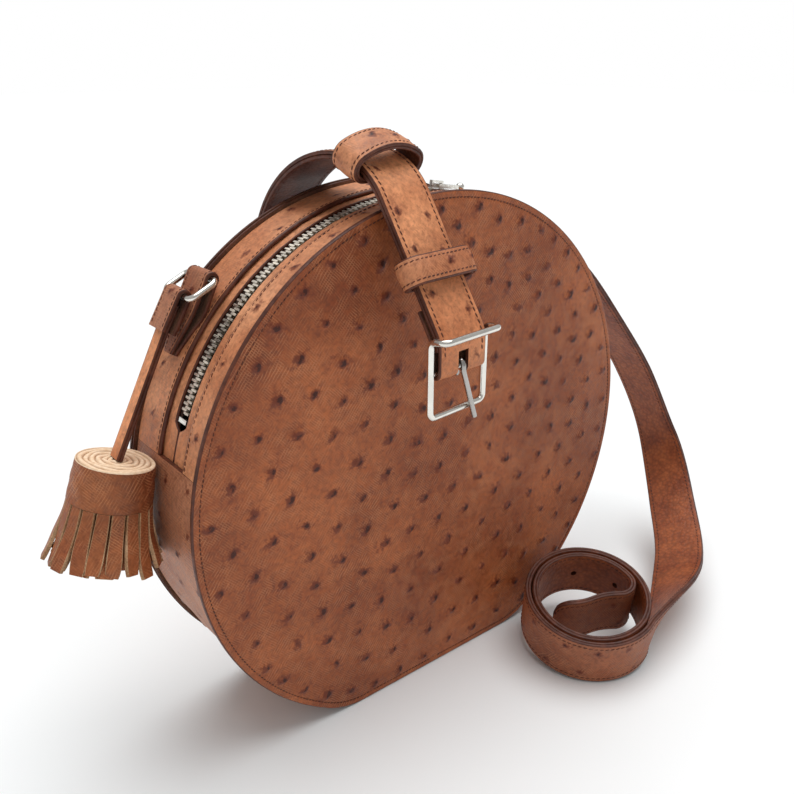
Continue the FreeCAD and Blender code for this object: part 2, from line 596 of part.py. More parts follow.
# Bands of leather: a chain of straight runs and tangent arcs, offset to both faces
def chain_edges(start, heading, pieces, offset, place):
    """Edges of a chain moved to its left by an offset; a piece is (length,) or (radius, turn)."""
    x, y = start
    turn_now = math.radians(heading)
    edges = []
    for piece in pieces:
        left = (-math.sin(turn_now), math.cos(turn_now))
        begin = (x + left[0] * offset, y + left[1] * offset)
        if len(piece) == 1:
            x += piece[0] * math.cos(turn_now)
            y += piece[0] * math.sin(turn_now)
            finish = (x + left[0] * offset, y + left[1] * offset)
            edges.append(Part.LineSegment(place(*begin), place(*finish)).toShape())
            continue
        radius, turn = piece
        sign = math.copysign(1, turn)
        middle = (x + left[0] * sign * radius, y + left[1] * sign * radius)
        arm = sign * (radius - sign * offset)
        half = turn_now + math.radians(turn) / 2
        turn_now += math.radians(turn)
        between = (middle[0] + arm * math.sin(half), middle[1] - arm * math.cos(half))
        finish = (middle[0] + arm * math.sin(turn_now), middle[1] - arm * math.cos(turn_now))
        edges.append(Part.Arc(place(*begin), place(*between), place(*finish)).toShape())
        x = middle[0] + sign * radius * math.sin(turn_now)
        y = middle[1] - sign * radius * math.cos(turn_now)
    return edges


def chain_end(start, heading, pieces):
    """Where a chain ends, and its heading there."""
    x, y = start
    turn_now = math.radians(heading)
    for piece in pieces:
        if len(piece) == 1:
            x += piece[0] * math.cos(turn_now)
            y += piece[0] * math.sin(turn_now)
            continue
        radius, turn = piece
        sign = math.copysign(1, turn)
        x -= sign * radius * math.sin(turn_now)
        y += sign * radius * math.cos(turn_now)
        turn_now += math.radians(turn)
        x += sign * radius * math.sin(turn_now)
        y -= sign * radius * math.cos(turn_now)
    return (x, y), math.degrees(turn_now)


def band_wire(start, heading, pieces, left, right, place):
    """The closed outline of a band between two offsets of one chain."""
    ahead = chain_edges(start, heading, pieces, left, place)
    behind = chain_edges(start, heading, pieces, right, place)
    ends = [(ahead[0].Vertexes[0].Point, behind[0].Vertexes[0].Point),
            (ahead[-1].Vertexes[-1].Point, behind[-1].Vertexes[-1].Point)]
    caps = [Part.LineSegment(a, b).toShape() for a, b in ends]
    return Part.Wire(Part.__sortEdges__(ahead + behind + caps))


def loop_wire(start, heading, pieces, offset, place):
    return Part.Wire(Part.__sortEdges__(chain_edges(start, heading, pieces, offset, place)))


def round_wire(path, diameter):
    """A round wire along lines and tangent arcs: a cylinder for each line and part of a ring for each arc."""
    pieces = []
    for edge in path:
        low, high = edge.ParameterRange
        point = edge.valueAt(low)
        disc = Part.Face(Part.Wire(Part.makeCircle(diameter / 2, point, edge.tangentAt(low))))
        if isinstance(edge.Curve, Part.Circle):
            pieces.append(disc.revolve(edge.Curve.Center, edge.Curve.Axis, math.degrees(high - low)))
        else:
            pieces.append(disc.extrude(edge.valueAt(high) - point))
    return pieces[0].fuse(pieces[1:]).removeSplitter()


# Short strap: a plane turned a little about the vertical, through the strap's middle line
yaw = math.radians(size("strap_yaw"))
strap_right = Vector(math.cos(yaw), math.sin(yaw), 0)
strap_ahead = Vector(math.sin(yaw), -math.cos(yaw), 0)
strap_origin = Vector(-size("strap_side"), 0, 0)


def strap_point(across, ahead, up):
    return strap_origin + strap_right * across + strap_ahead * ahead + Vector(0, 0, up)


arch_height = size("strap_top") - size("arch_back_radius")
arch_left = size("arch_forward") - size("arch_back_radius")
layers = 2 * size("strap_leather") + size("layer_gap")
fold_outer = size("buckle_bar") / 2 + size("fold_clearance") + size("strap_leather")


def strap_route(across):
    """Outer face of the strap at one edge: foot, arch, front run and the fold round the buckle bar."""
    face = size("bag_depth") / 2 + size("strap_foot_gap") + layers
    foot = -(face - across * math.sin(yaw)) / math.cos(yaw)
    reach = size("arch_back_radius") + size("arch_foot_radius")
    swing = math.acos((size("arch_forward") + size("arch_foot_radius") - foot) / reach)
    height = arch_height - reach * math.sin(swing)
    turn = math.degrees(swing)
    fall = size("strap_fall_angle")
    lead = [(height - size("strap_foot_end"),), (size("arch_foot_radius"), turn),
            (size("arch_back_radius"), -turn - 90), (size("arch_front_radius"), -fall),
            (size("strap_run"),), (size("strap_end_radius"), fall - 90), (size("strap_end_drop"),)]
    back_radius = size("strap_end_radius") - 2 * fold_outer
    fold = [(fold_outer, -180), (size("strap_end_drop"),), (back_radius, 90 - fall), (size("strap_turn_back"),)]
    return (foot, size("strap_foot_end")), lead, fold


def strap_layer(outer, inner, folded):
    """One layer of the short strap, ruled between its two long edges."""
    wires = []
    for across in (-size("strap_width") / 2, size("strap_width") / 2):
        start, lead, fold = strap_route(across)
        pieces = lead + fold if folded else lead[:-1]
        wires.append(band_wire(start, 90, pieces, -outer, -inner,
                               lambda ahead, up, across=across: strap_point(across, ahead, up)))
    return Part.makeLoft(wires, True, True)


start, lead, fold = strap_route(0)
fold_start, fold_heading = chain_end(start, 90, lead)
bar_ahead = fold_start[0] - fold_outer
bar_height = fold_start[1]


def strap_box(across, ahead_low, ahead_high, up_low, up_high):
    """A block in the strap's own directions, centred across it."""
    base = [strap_point(-across / 2, ahead_low, up_low), strap_point(across / 2, ahead_low, up_low),
            strap_point(across / 2, ahead_high, up_low), strap_point(-across / 2, ahead_high, up_low)]
    return Part.Face(Part.makePolygon(base + base[:1])).extrude(Vector(0, 0, up_high - up_low))


strap_body = strap_layer(0, size("strap_leather"), True)
slot_reach = 2 * fold_outer
prong_slot = strap_box(size("prong_slot_width"), bar_ahead - slot_reach, bar_ahead + slot_reach,
                       bar_height - slot_reach, bar_height + size("prong_slot_rise"))
feature("buckle_strap", strap_body.cut(prong_slot))
feature("buckle_strap_lining", strap_layer(size("strap_leather") + size("layer_gap"), layers, False))

# Upper keeper: an oval loop on the front of the arch, its lower side under the strap
half_room = size("keeper_room") / 2


def keeper(start, heading, pieces, middle, along, outward, width):
    """A closed band of leather round the strap."""
    def place(across, out):
        return middle + strap_right * across + outward * out - along * (width / 2)
    outer = Part.Face(loop_wire(start, heading, pieces, -size("keeper_thickness"), place))
    inner = Part.Face(loop_wire(start, heading, pieces, 0, place))
    return outer.cut(inner).extrude(along * width)


def turned(angle):
    """Forward-down direction of the strap at an angle from the level, and its outward normal."""
    down = math.radians(angle)
    along = strap_ahead * math.cos(down) - Vector(0, 0, math.sin(down))
    outward = strap_ahead * math.sin(down) + Vector(0, 0, math.cos(down))
    return along, outward


front_centre = (size("arch_forward"), size("strap_top") - size("arch_front_radius"))
angle = size("upper_keeper_angle")
along, outward = turned(angle)
middle = strap_point(0, front_centre[0], front_centre[1]) + outward * size("arch_front_radius")
dip = (size("upper_keeper_width") / 2) ** 2 / (2 * (size("arch_front_radius") - layers))
low = -(layers + dip + size("keeper_clearance"))
corner = size("upper_keeper_corner")
flat = half_room - corner
crown = 2 * flat + corner
pieces = [(2 * flat,), (corner, 150), (crown, 60), (corner, 150)]
feature("upper_keeper", keeper((-flat, low), 0, pieces, middle, along, outward, size("upper_keeper_width")))

# Lower keeper: a flat loop on the straight front run
along, outward = turned(size("strap_fall_angle"))
run_start = strap_point(0, front_centre[0], front_centre[1]) + outward * size("arch_front_radius")
middle = run_start + along * size("lower_keeper_place")
corner = size("lower_keeper_height") / 2
flat = half_room - corner
low = -(layers + size("keeper_clearance"))
pieces = [(2 * flat,), (corner, 180), (2 * flat,), (corner, 180)]
feature("lower_keeper", keeper((-flat, low), 0, pieces, middle, along, outward, size("lower_keeper_width")))

# Buckle: a bent wire frame with a middle bar, hanging in the strap's fold
half = (size("buckle_width") - size("buckle_wire")) / 2
corner = size("buckle_corner")
bend = math.radians(size("buckle_bend_angle"))
bend_radius = size("buckle_bend_radius")
slope = (size("buckle_reach") - bend_radius * (1 - math.cos(bend))) / math.sin(bend)
rail_top = size("buckle_rise") - bend_radius * math.sin(bend) - slope * math.cos(bend)


def buckle_point(across, ahead, up):
    return strap_point(across, bar_ahead + ahead, bar_height + up)


def bent(distance):
    """Point of the forward bend, at a distance along its straight part."""
    ahead = bend_radius * (1 - math.cos(bend)) + distance * math.sin(bend)
    return ahead, rail_top + bend_radius * math.sin(bend) + distance * math.cos(bend)


def buckle_side(side):
    """One side rail with both its corners, from the lower bar to the upper bar."""
    drop = -size("buckle_drop")
    edge = side * half
    inner = side * (half - corner)
    turn = corner * (1 - math.sqrt(0.5))
    rail_start = bent(slope - corner)
    rail_turn = bent(slope - turn)
    rail_end = bent(slope)
    low_corner = Part.Arc(buckle_point(inner, 0, drop), buckle_point(edge - side * turn, 0, drop + turn),
                          buckle_point(edge, 0, drop + corner))
    low_rail = Part.LineSegment(buckle_point(edge, 0, drop + corner), buckle_point(edge, 0, rail_top))
    half_bend = (bend_radius * (1 - math.cos(bend / 2)), rail_top + bend_radius * math.sin(bend / 2))
    full_bend = bent(0)
    bend_arc = Part.Arc(buckle_point(edge, 0, rail_top), buckle_point(edge, *half_bend),
                        buckle_point(edge, *full_bend))
    high_rail = Part.LineSegment(buckle_point(edge, *full_bend), buckle_point(edge, *rail_start))
    high_corner = Part.Arc(buckle_point(edge, *rail_start), buckle_point(edge - side * turn, *rail_turn),
                           buckle_point(inner, *rail_end))
    return [item.toShape() for item in (low_corner, low_rail, bend_arc, high_rail, high_corner)]


low_bar = Part.LineSegment(buckle_point(-half + corner, 0, -size("buckle_drop")),
                           buckle_point(half - corner, 0, -size("buckle_drop"))).toShape()
high_bar = Part.LineSegment(buckle_point(half - corner, *bent(slope)),
                            buckle_point(-half + corner, *bent(slope))).toShape()
frame_wire = round_wire([low_bar, high_bar] + buckle_side(1) + buckle_side(-1), size("buckle_wire"))
middle_bar = Part.makeCylinder(size("buckle_bar") / 2, 2 * half, buckle_point(-half, 0, 0), strap_right)
feature("buckle_frame", frame_wire.fuse(middle_bar).removeSplitter())

# Prong: one wire, bent to an eye loose on the middle bar, whose shank leans and lies over the lower bar
eye_radius = (size("prong_eye") + size("prong_wire")) / 2
slew = math.radians(size("prong_slew"))
prong_bend = size("prong_bend")
side_half = prong_bend * (1 - math.cos(slew / 2))
side_bend = prong_bend * (1 - math.cos(slew))
bend_drop = prong_bend * math.sin(slew)
low_end = -size("buckle_drop") - size("prong_overhang")
low_side = side_bend + (-low_end - bend_drop) * math.tan(slew)
eye = Part.Arc(buckle_point(0, 0, -eye_radius), buckle_point(0, -eye_radius * math.sqrt(0.5), eye_radius * math.sqrt(0.5)),
               buckle_point(0, eye_radius, 0))
lean = Part.Arc(buckle_point(0, eye_radius, 0), buckle_point(side_half, eye_radius, -prong_bend * math.sin(slew / 2)),
                buckle_point(side_bend, eye_radius, -bend_drop))
shank = Part.LineSegment(buckle_point(side_bend, eye_radius, -bend_drop), buckle_point(low_side, eye_radius, low_end))
feature("buckle_prong", round_wire([item.toShape() for item in (eye, lean, shank)], size("prong_wire")))


# Ring tabs: one strip of leather folded round the ring's inner bar and sewn to the gusset by its tip
gusset_radius = worth(GUSSET)
bar_radius = size("ring_wire") / 2
tab_fold = bar_radius + size("fold_clearance") + size("tab_leather") / 2
fold_radius = gusset_radius + size("ring_reach")


def tab_place(side, y):
    """Maps distance up the gusset and height above it, at the lift angle, to one side of the bag."""
    lift = math.radians(size("tab_lift_angle"))
    up = Vector(-side * math.cos(lift), 0, math.sin(lift))
    out = Vector(side * math.sin(lift), 0, math.cos(lift))
    foot = axle + out * gusset_radius + Vector(0, y, 0)
    return lambda along, height: foot + up * along + out * height


def tab_route():
    """The tab's middle line, from its tip under the fold, round the bar and back over itself."""
    lift = math.radians(size("tab_lift_angle") - size("ring_angle"))
    fold_at = (fold_radius * math.sin(lift), fold_radius * math.cos(lift) - gusset_radius)
    sewn = size("tab_tip_angle") - size("tab_lift_angle")
    layer = gusset_radius + size("layer_gap") + size("tab_leather") / 2
    low, high = 0.0, 60.0
    for step in range(60):
        rise = (low + high) / 2
        turn = math.radians(rise)
        corner = (size("tab_bend") * math.sin(turn), layer - gusset_radius + size("tab_bend") * (1 - math.cos(turn)))
        aside = math.cos(turn) * (fold_at[1] - corner[1]) - math.sin(turn) * (fold_at[0] - corner[0])
        if aside > tab_fold:
            low = rise
        else:
            high = rise
    run = math.cos(turn) * (fold_at[0] - corner[0]) + math.sin(turn) * (fold_at[1] - corner[1])
    upper = layer + size("tab_leather") + size("layer_gap")
    lean = math.degrees(math.acos((upper - tab_fold) / fold_radius))
    dip = lean - (size("tab_lift_angle") - size("ring_angle"))
    whole = math.sqrt(fold_radius ** 2 - (upper - tab_fold) ** 2)
    back = whole - upper * math.tan(math.radians(max(dip - sewn, 0)))
    sew = math.radians(sewn)
    start = (-layer * math.sin(sew), layer * math.cos(sew) - gusset_radius)
    return start, sewn, [(layer, -sewn), (size("tab_bend"), rise), (run,), (tab_fold, 180 + dip - rise), (back,)]


def tab(label, side, width, tip_width, y):
    start, heading, pieces = tab_route()
    place = tab_place(side, y - width / 2)
    half = size("tab_leather") / 2
    leather = Part.Face(band_wire(start, heading, pieces, half, -half, place)).extrude(Vector(0, width, 0))
    plan = tab_place(side, y)
    tip = start[0] - size("tab_leather")
    reach = fold_radius - gusset_radius + size("tab_bend")
    outline = [(tip, -tip_width / 2), (0, -width / 2), (reach, -width / 2),
               (reach, width / 2), (0, width / 2), (tip, tip_width / 2)]
    corners = [plan(along, -reach) + Vector(0, across, 0) for along, across in outline]
    rise = plan(0, reach) - plan(0, -reach)
    taper = Part.Face(Part.makePolygon(corners + corners[:1])).extrude(rise)
    feature(label, leather.common(taper))


# Rings: rectangles of round wire through the tab's fold
def ring_bars(side, y, ring_dip):
    """Middles of a ring's inner and outer bar."""
    turn = math.radians(size("ring_angle"))
    dip = math.radians(ring_dip)
    inner = axle + Vector(side * fold_radius * math.sin(turn), y, fold_radius * math.cos(turn))
    way = Vector(side * math.cos(dip), 0, -math.sin(dip))
    return inner, inner + way * size("ring_span"), way


def ring(label, side, y, ring_dip, held):
    inner, outer, way = ring_bars(side, y, ring_dip)
    half = held / 2 + size("ring_slack") / 2 + bar_radius
    corner = size("ring_corner")

    def place(along, across):
        return inner + way * along + Vector(0, across, 0)
    flat = size("ring_span") - 2 * corner
    side_run = 2 * half - 2 * corner
    pieces = [(flat,), (corner, 90), (side_run,), (corner, 90), (flat,), (corner, 90), (side_run,), (corner, 90)]
    feature(label, round_wire(chain_edges((corner, -half), 0, pieces, 0, place), size("ring_wire")))


tab("left_ring_tab", -1, size("tab_width"), size("tab_tip_width"), size("tab_set_back"))
ring("left_ring", -1, size("tab_set_back"), size("ring_dip"),
     size("tab_width") + 2 * (size("ring_corner") - bar_radius))
tab("right_ring_tab", 1, size("right_tab_width"), size("right_tab_tip_width"), size("right_tab_set_back"))
ring("right_ring", 1, size("right_tab_set_back"), size("right_ring_dip"),
     size("strap_width") + 2 * (size("ring_corner") - bar_radius))

# Tassel: a leather loop on the ring's outer bar, a thong, a rolled top and a fringe of cut strips
inner_bar, hang_bar, way = ring_bars(-1, size("tab_set_back"), size("ring_dip"))
lean = math.radians(size("thong_lean"))
hang_down = Vector(-math.sin(lean), 0, -math.cos(lean))
hang_out = Vector(-math.cos(lean), 0, math.sin(lean))
loop_fold = bar_radius + size("fold_clearance") + size("loop_leather") / 2
loop_base = hang_bar - Vector(0, size("loop_width") / 2, 0)
half = size("loop_leather") / 2
loop_pieces = [(size("loop_length"),), (loop_fold, 180), (size("loop_length"),)]
loop_outline = band_wire((size("loop_length"), loop_fold), 180, loop_pieces, half, -half,
                         lambda down, out: loop_base + hang_down * down - hang_out * out)
feature("tassel_loop", Part.Face(loop_outline).extrude(Vector(0, size("loop_width"), 0)))

thong_start = bar_radius + size("fold_clearance") + size("thong_thickness")
thong_way = hang_down * size("thong_length") - Vector(0, size("thong_shift"), 0)
roll_top = hang_bar + thong_way


def thong_section(middle):
    out = hang_out * (size("thong_thickness") / 2)
    across = Vector(0, size("thong_width") / 2, 0)
    corners = [middle - out - across, middle + out - across, middle + out + across, middle - out + across]
    return Part.makePolygon(corners + corners[:1])


thong_top = hang_bar + hang_down * thong_start
thong_end = roll_top - hang_down * size("layer_gap") * 4
thong_knee = hang_bar + hang_down * size("loop_length")
feature("tassel_thong", Part.makeLoft([thong_section(thong_top), thong_section(thong_knee), thong_section(thong_end)],
                                      True, True))

roll_turn = Rotation(Vector(0, 1, 0), size("roll_lean"))
roll_place = Placement(roll_top, roll_turn)
roll_low = size("roll_radius") + size("roll_flare")
roll = Part.makeCone(size("roll_radius"), roll_low, size("roll_height"), Vector(0, 0, 0), Vector(0, 0, -1))
feature("tassel_roll", roll, roll_place)


def fringe_strip(top_radius, low_radius, count, length):
    """One strip of the fringe, wider at its lower end, hanging from the roll's lower edge."""
    rows = []
    top = -size("roll_height") - size("layer_gap")
    bow = (0.0, size("fringe_bow"), 1.0)
    for share in (0.0, 0.5, 1.0):
        radius = top_radius + (low_radius - top_radius) * bow[int(2 * share)]
        width = 2 * math.pi * radius / count - size("fringe_gap")
        z = top - share * length
        inner = radius - size("fringe_thickness")
        rows.append([Vector(inner, -width / 2, z), Vector(radius, -width / 2, z),
                     Vector(radius, width / 2, z), Vector(inner, width / 2, z)])
    outlines = [rows[0], rows[-1]]
    for upper, lower in zip(rows, rows[1:]):
        for i in range(4):
            outlines.append([upper[i], upper[(i + 1) % 4], lower[(i + 1) % 4], lower[i]])
    faces = [Part.Face(Part.makePolygon(corners + corners[:1])) for corners in outlines]
    return Part.makeSolid(Part.makeShell(faces))


strips = []
inner_top = roll_low - size("fringe_inner_step")
inner_low = size("fringe_radius") - size("fringe_inner_step")
rings = [(roll_low, size("fringe_radius"), int(size("fringe_count"))),
         (inner_top, inner_low, int(size("fringe_inner_count")))]
for top_radius, low_radius, count in rings:
    strip = fringe_strip(top_radius, low_radius, count, size("fringe_length"))
    for i in range(count):
        copy = strip.copy()
        copy.rotate(Vector(0, 0, 0), Vector(0, 0, 1), 360.0 * i / count)
        strips.append(copy)
feature("tassel_fringe", Part.makeCompound(strips), roll_place)

# Long strap at the right ring: wrapped round the outer bar, its end sewn back under it
inner_bar, hold_bar, way = ring_bars(1, size("right_tab_set_back"), size("right_ring_dip"))
leave = math.radians(size("strap_leave_angle"))
way = Vector(math.cos(leave), 0, -math.sin(leave))
strap_half = size("long_strap_thickness") / 2
wrap = bar_radius + size("fold_clearance") + strap_half
normal = Vector(math.sin(leave), 0, math.cos(leave))
wrap_base = hold_bar - Vector(0, size("strap_width") / 2, 0)
close_in = math.degrees(math.asin((2 * wrap - 2 * strap_half - size("layer_gap")) / size("strap_tail")))
wrap_pieces = [(size("strap_fold_run"),), (wrap, 180 + close_in), (size("strap_tail"),)]
wrap_outline = band_wire((size("strap_fold_run"), wrap), 180, wrap_pieces, strap_half, -strap_half,
                         lambda along, out: wrap_base + way * along + normal * out)
wrapped = Part.Face(wrap_outline).extrude(Vector(0, size("strap_width"), 0))


def round_tip(solid, near):
    """Rounds the two corners of a strap's end, the short edges closest to a point."""
    short = [edge for edge in solid.Edges if abs(edge.Length - size("long_strap_thickness")) < 0.01]
    short.sort(key=lambda edge: (edge.CenterOfMass - near).Length)
    return solid.makeFillet(size("strap_tip_round"), short[:2])


tail_end, tail_heading = chain_end((size("strap_fold_run"), wrap), 180, wrap_pieces)
tail_point = hold_bar + way * tail_end[0] + normal * tail_end[1]
feature("shoulder_strap_end", round_tip(wrapped, tail_point))

# Coil of the long strap: turns that shrink by a steady step, then the free end turned back inside
coil_yaw = math.radians(size("coil_yaw"))
coil_across = Vector(math.cos(coil_yaw), -math.sin(coil_yaw), 0)
tilt = math.radians(size("coil_tilt"))
towards = Vector(coil_across.y, -coil_across.x, 0)
coil_axis = Vector(0, 0, math.cos(tilt)) + towards * math.sin(tilt)
coil_far = coil_axis.cross(coil_across)
lowest = (size("coil_radius") + strap_half) * coil_far.z + size("strap_width") / 2 * coil_axis.z
coil_centre = Vector(size("coil_right"), -size("coil_front"), lowest + size("coil_floor_gap"))
join_angle = -size("coil_join_angle")
join = math.radians(join_angle)
coil_start = (size("coil_radius") * math.cos(join), size("coil_radius") * math.sin(join))
radii = [size("coil_radius") - size("coil_step") * i for i in range(4)]
turn_radius = size("coil_turn_radius")
full_turns = [(radii[0], -180), (radii[1], -180), (radii[2], -180)]
coil_pieces = full_turns + [(radii[3], -size("coil_last_turn")), (turn_radius, -size("coil_turn_angle")),
                            (size("tail_bow_radius"), size("tail_bow_angle")),
                            (size("tail_hook_radius"), -size("tail_hook_angle")), (size("tail_run"),)]


def coil_place(right, far):
    return coil_centre + coil_across * right + coil_far * far


coil_outline = band_wire(coil_start, join_angle - 90, coil_pieces, strap_half, -strap_half,
                         lambda right, far: coil_place(right, far) - coil_axis * (size("strap_width") / 2))
coil = Part.Face(coil_outline).extrude(coil_axis * size("strap_width"))
coil_finish, coil_heading = chain_end(coil_start, join_angle - 90, coil_pieces)
coil = round_tip(coil, coil_place(*coil_finish))
for turn in ("first_hole_turn", "second_hole_turn"):
    spot, spot_heading = chain_end(coil_start, join_angle - 90, full_turns + [(radii[3], -size(turn))])
    left = math.radians(spot_heading + 90)
    through = coil_across * math.cos(left) + coil_far * math.sin(left)
    depth = size("long_strap_thickness") + 2 * size("layer_gap")
    hole = Part.makeCylinder(size("strap_hole") / 2, depth, coil_place(*spot) - through * (depth / 2), through)
    coil = coil.cut(hole)
feature("shoulder_strap_coil", coil)

places = []
for edge in chain_edges(coil_start, join_angle - 90, coil_pieces, 0, lambda right, far: Vector(right, far, 0)):
    places += edge.discretize(Distance=1.0)[:-1]
coil_length = coil.Volume / (size("long_strap_thickness") * size("strap_width"))
apart = int(3.5 * turn_radius)
least = min((places[i] - places[j]).Length for i in range(len(places)) for j in range(i + apart, len(places)))
print("coil length %.0f mm, radii %s, free end turns at %.1f, least gap to itself %.2f mm"
      % (coil_length, radii, turn_radius, least - size("long_strap_thickness")))

# Hanging stretch of the long strap: bowed out to the right, then turned over onto its edge at the coil
route = [Vector(140.4, 8.0, 118.2), Vector(162.5, 3.1, 87.9), Vector(174.2, -8.1, 51.8),
         Vector(157.5, -31.6, 28.0), Vector(121.5, -61.5, 17.8)]
twist = [-7.0, -6.0, 0.0, -4.0, -14.0]
first = hold_bar + way * (size("strap_fold_run") + size("layer_gap")) + normal * wrap
start_heading = math.radians(join_angle - 90)
coil_way = coil_across * math.cos(start_heading) + coil_far * math.sin(start_heading)
last = coil_place(*coil_start) - coil_way * size("layer_gap")
stations = [first] + route + [last]
edge_turn = [0.0] + twist + [math.degrees(math.atan2(-coil_axis.z, -coil_axis.y))]
slopes = [way]
for i in range(1, len(stations) - 1):
    slopes.append((stations[i + 1] - stations[i - 1]).normalize())
slopes.append(coil_way)


def strap_section(middle, along, across):
    across = (across - along * across.dot(along)).normalize()
    out = along.cross(across).normalize() * strap_half
    across = across * (size("strap_width") / 2)
    corners = [middle - out - across, middle + out - across, middle + out + across, middle - out + across]
    return Part.makePolygon(corners + corners[:1])


sections = []
hang_length = 0.0
before = first
for i in range(len(stations) - 1):
    span = (stations[i + 1] - stations[i]).Length
    for k in range(4 if i < len(stations) - 2 else 5):
        f = k / 4
        blend = (2 * f ** 3 - 3 * f ** 2 + 1, (f ** 3 - 2 * f ** 2 + f) * span,
                 3 * f ** 2 - 2 * f ** 3, (f ** 3 - f ** 2) * span)
        middle = (stations[i] * blend[0] + slopes[i] * blend[1] + stations[i + 1] * blend[2] + slopes[i + 1] * blend[3])
        rate = (6 * f ** 2 - 6 * f, 3 * f ** 2 - 4 * f + 1, 6 * f - 6 * f ** 2, 3 * f ** 2 - 2 * f)
        along = (stations[i] * (rate[0] / span) + slopes[i] * rate[1] + stations[i + 1] * (rate[2] / span)
                 + slopes[i + 1] * rate[3]).normalize()
        turn = math.radians(edge_turn[i] + (edge_turn[i + 1] - edge_turn[i]) * f)
        across = Vector(0, math.cos(turn), math.sin(turn))
        if i == len(stations) - 2:
            across = Vector(-coil_axis.x * f, math.cos(turn), math.sin(turn))
        if i == len(stations) - 2 and k == 4:
            across = -coil_axis
        sections.append(strap_section(middle, along, across))
        hang_length += (middle - before).Length
        before = middle
feature("shoulder_strap", Part.makeLoft(sections, True, True))
end_length = wrapped.Volume / (size("long_strap_thickness") * size("strap_width"))
print("hanging stretch %.0f mm, whole long strap %.0f mm" % (hang_length, end_length + hang_length + coil_length))

# Every object and every shape is checked before anything is written
doc.recompute()
for item in doc.Objects:
    if "Invalid" in item.State or "Error" in item.State:
        raise RuntimeError(item.Label + " failed")
os.makedirs("parts", exist_ok=True)
for item in nodes:
    if item.Shape.isNull() or not item.Shape.isValid() or item.Shape.Volume <= 0:
        raise RuntimeError(item.Label + " has no valid shape")
for item in nodes:
    item.Shape.exportStep(os.path.join("parts", item.Label + ".step"))
print(len(nodes), "nodes written")
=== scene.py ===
import random
from math import acos, asin, atan2, ceil, cos, degrees, hypot, pi, radians, sin, sqrt, tan
import bmesh
import bpy
import numpy as np
from mathutils import Matrix, Vector, noise
from mathutils.geometry import delaunay_2d_cdt


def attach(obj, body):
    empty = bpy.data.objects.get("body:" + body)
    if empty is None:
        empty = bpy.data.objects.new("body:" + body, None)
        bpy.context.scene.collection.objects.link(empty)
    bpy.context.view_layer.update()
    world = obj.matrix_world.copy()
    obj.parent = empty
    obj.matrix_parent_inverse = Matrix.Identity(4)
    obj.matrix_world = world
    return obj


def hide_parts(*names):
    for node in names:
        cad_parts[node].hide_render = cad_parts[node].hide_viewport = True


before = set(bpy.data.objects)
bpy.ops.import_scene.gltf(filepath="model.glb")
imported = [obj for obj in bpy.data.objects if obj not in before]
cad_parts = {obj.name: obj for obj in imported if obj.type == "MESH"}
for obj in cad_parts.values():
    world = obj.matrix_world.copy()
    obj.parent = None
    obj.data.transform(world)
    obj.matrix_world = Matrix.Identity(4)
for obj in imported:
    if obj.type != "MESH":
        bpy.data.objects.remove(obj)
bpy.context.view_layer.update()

# Front and back panels: two rounds of full-quill ostrich leather with a flat base, 1.6 mm thick.
# Each has a dark painted edge and is sewn to the gusset by one row of stitches close to that edge.
# Lengths are in millimetres until a piece is made.
bag_radius = 105.0
centre_height = 94.0
corner_radius = 32.0
panel_face = 25.0
panel_leather = 1.6
panel_crown = 0.9
crown_reach = 26.0
seam_inset = 2.5
corner_rise = centre_height - corner_radius
base_half = sqrt((bag_radius - corner_radius) ** 2 - corner_rise ** 2)
corner_turn = 90 - degrees(atan2(corner_rise, base_half))
on_face, on_edge, on_back, on_thread = range(4)
scene = bpy.context.scene


def tone(red, green, blue):
    """A colour as a screen shows it, 0 to 255, as the linear colour that a shader takes."""
    levels = [value / 255 for value in (red, green, blue)]
    return tuple(v / 12.92 if v <= 0.04045 else ((v + 0.055) / 1.055) ** 2.4 for v in levels) + (1.0,)


def feed(shader, key, value):
    shader.id_data.links.new(value, shader.inputs[key])


def step(kind, inputs, tree=None, **settings):
    """One shader node, its inputs set to numbers or linked to the outputs of others."""
    sockets = [value for value in inputs.values() if isinstance(value, bpy.types.NodeSocket)]
    item = (tree or sockets[0].id_data).nodes.new("ShaderNode" + kind)
    for key, value in settings.items():
        setattr(item, key, value)
    for key, value in inputs.items():
        if isinstance(value, bpy.types.NodeSocket):
            feed(item, key, value)
        else:
            item.inputs[key].default_value = value
    return item


def new_finish(label, roughness, metal=0.0):
    finish = bpy.data.materials.new(label)
    finish.use_nodes = True
    shader = finish.node_tree.nodes["Principled BSDF"]
    shader.inputs["Roughness"].default_value = roughness
    shader.inputs["Metallic"].default_value = metal
    shader.inputs["Specular IOR Level"].default_value = 0.35
    return finish, shader, step("TexCoord", {}, finish.node_tree).outputs["Object"]


def clouds(place, size, detail=3.0):
    """Soft noise whose patches are about this many millimetres across."""
    return step("TexNoise", {"Vector": place, "Scale": 1000 / size, "Detail": detail}).outputs[0]


def fade(value, start, end, low=0.0, high=1.0):
    """Even change from low to high while a value goes from start to end."""
    ends = {"Value": value, "From Min": start, "From Max": end, "To Min": low, "To Max": high}
    return step("MapRange", ends).outputs[0]


def count(kind, first, second):
    return step("Math", {0: first, 1: second}, operation=kind).outputs[0]


def dye(share, first, second, kind="MIX"):
    return step("Mix", {0: share, 6: first, 7: second}, data_type="RGBA", blend_type=kind).outputs[2]


def raise_grain(shader, height, strength, distance):
    ends = {"Strength": strength, "Distance": distance, "Height": height}
    feed(shader, "Normal", step("Bump", ends).outputs[0])


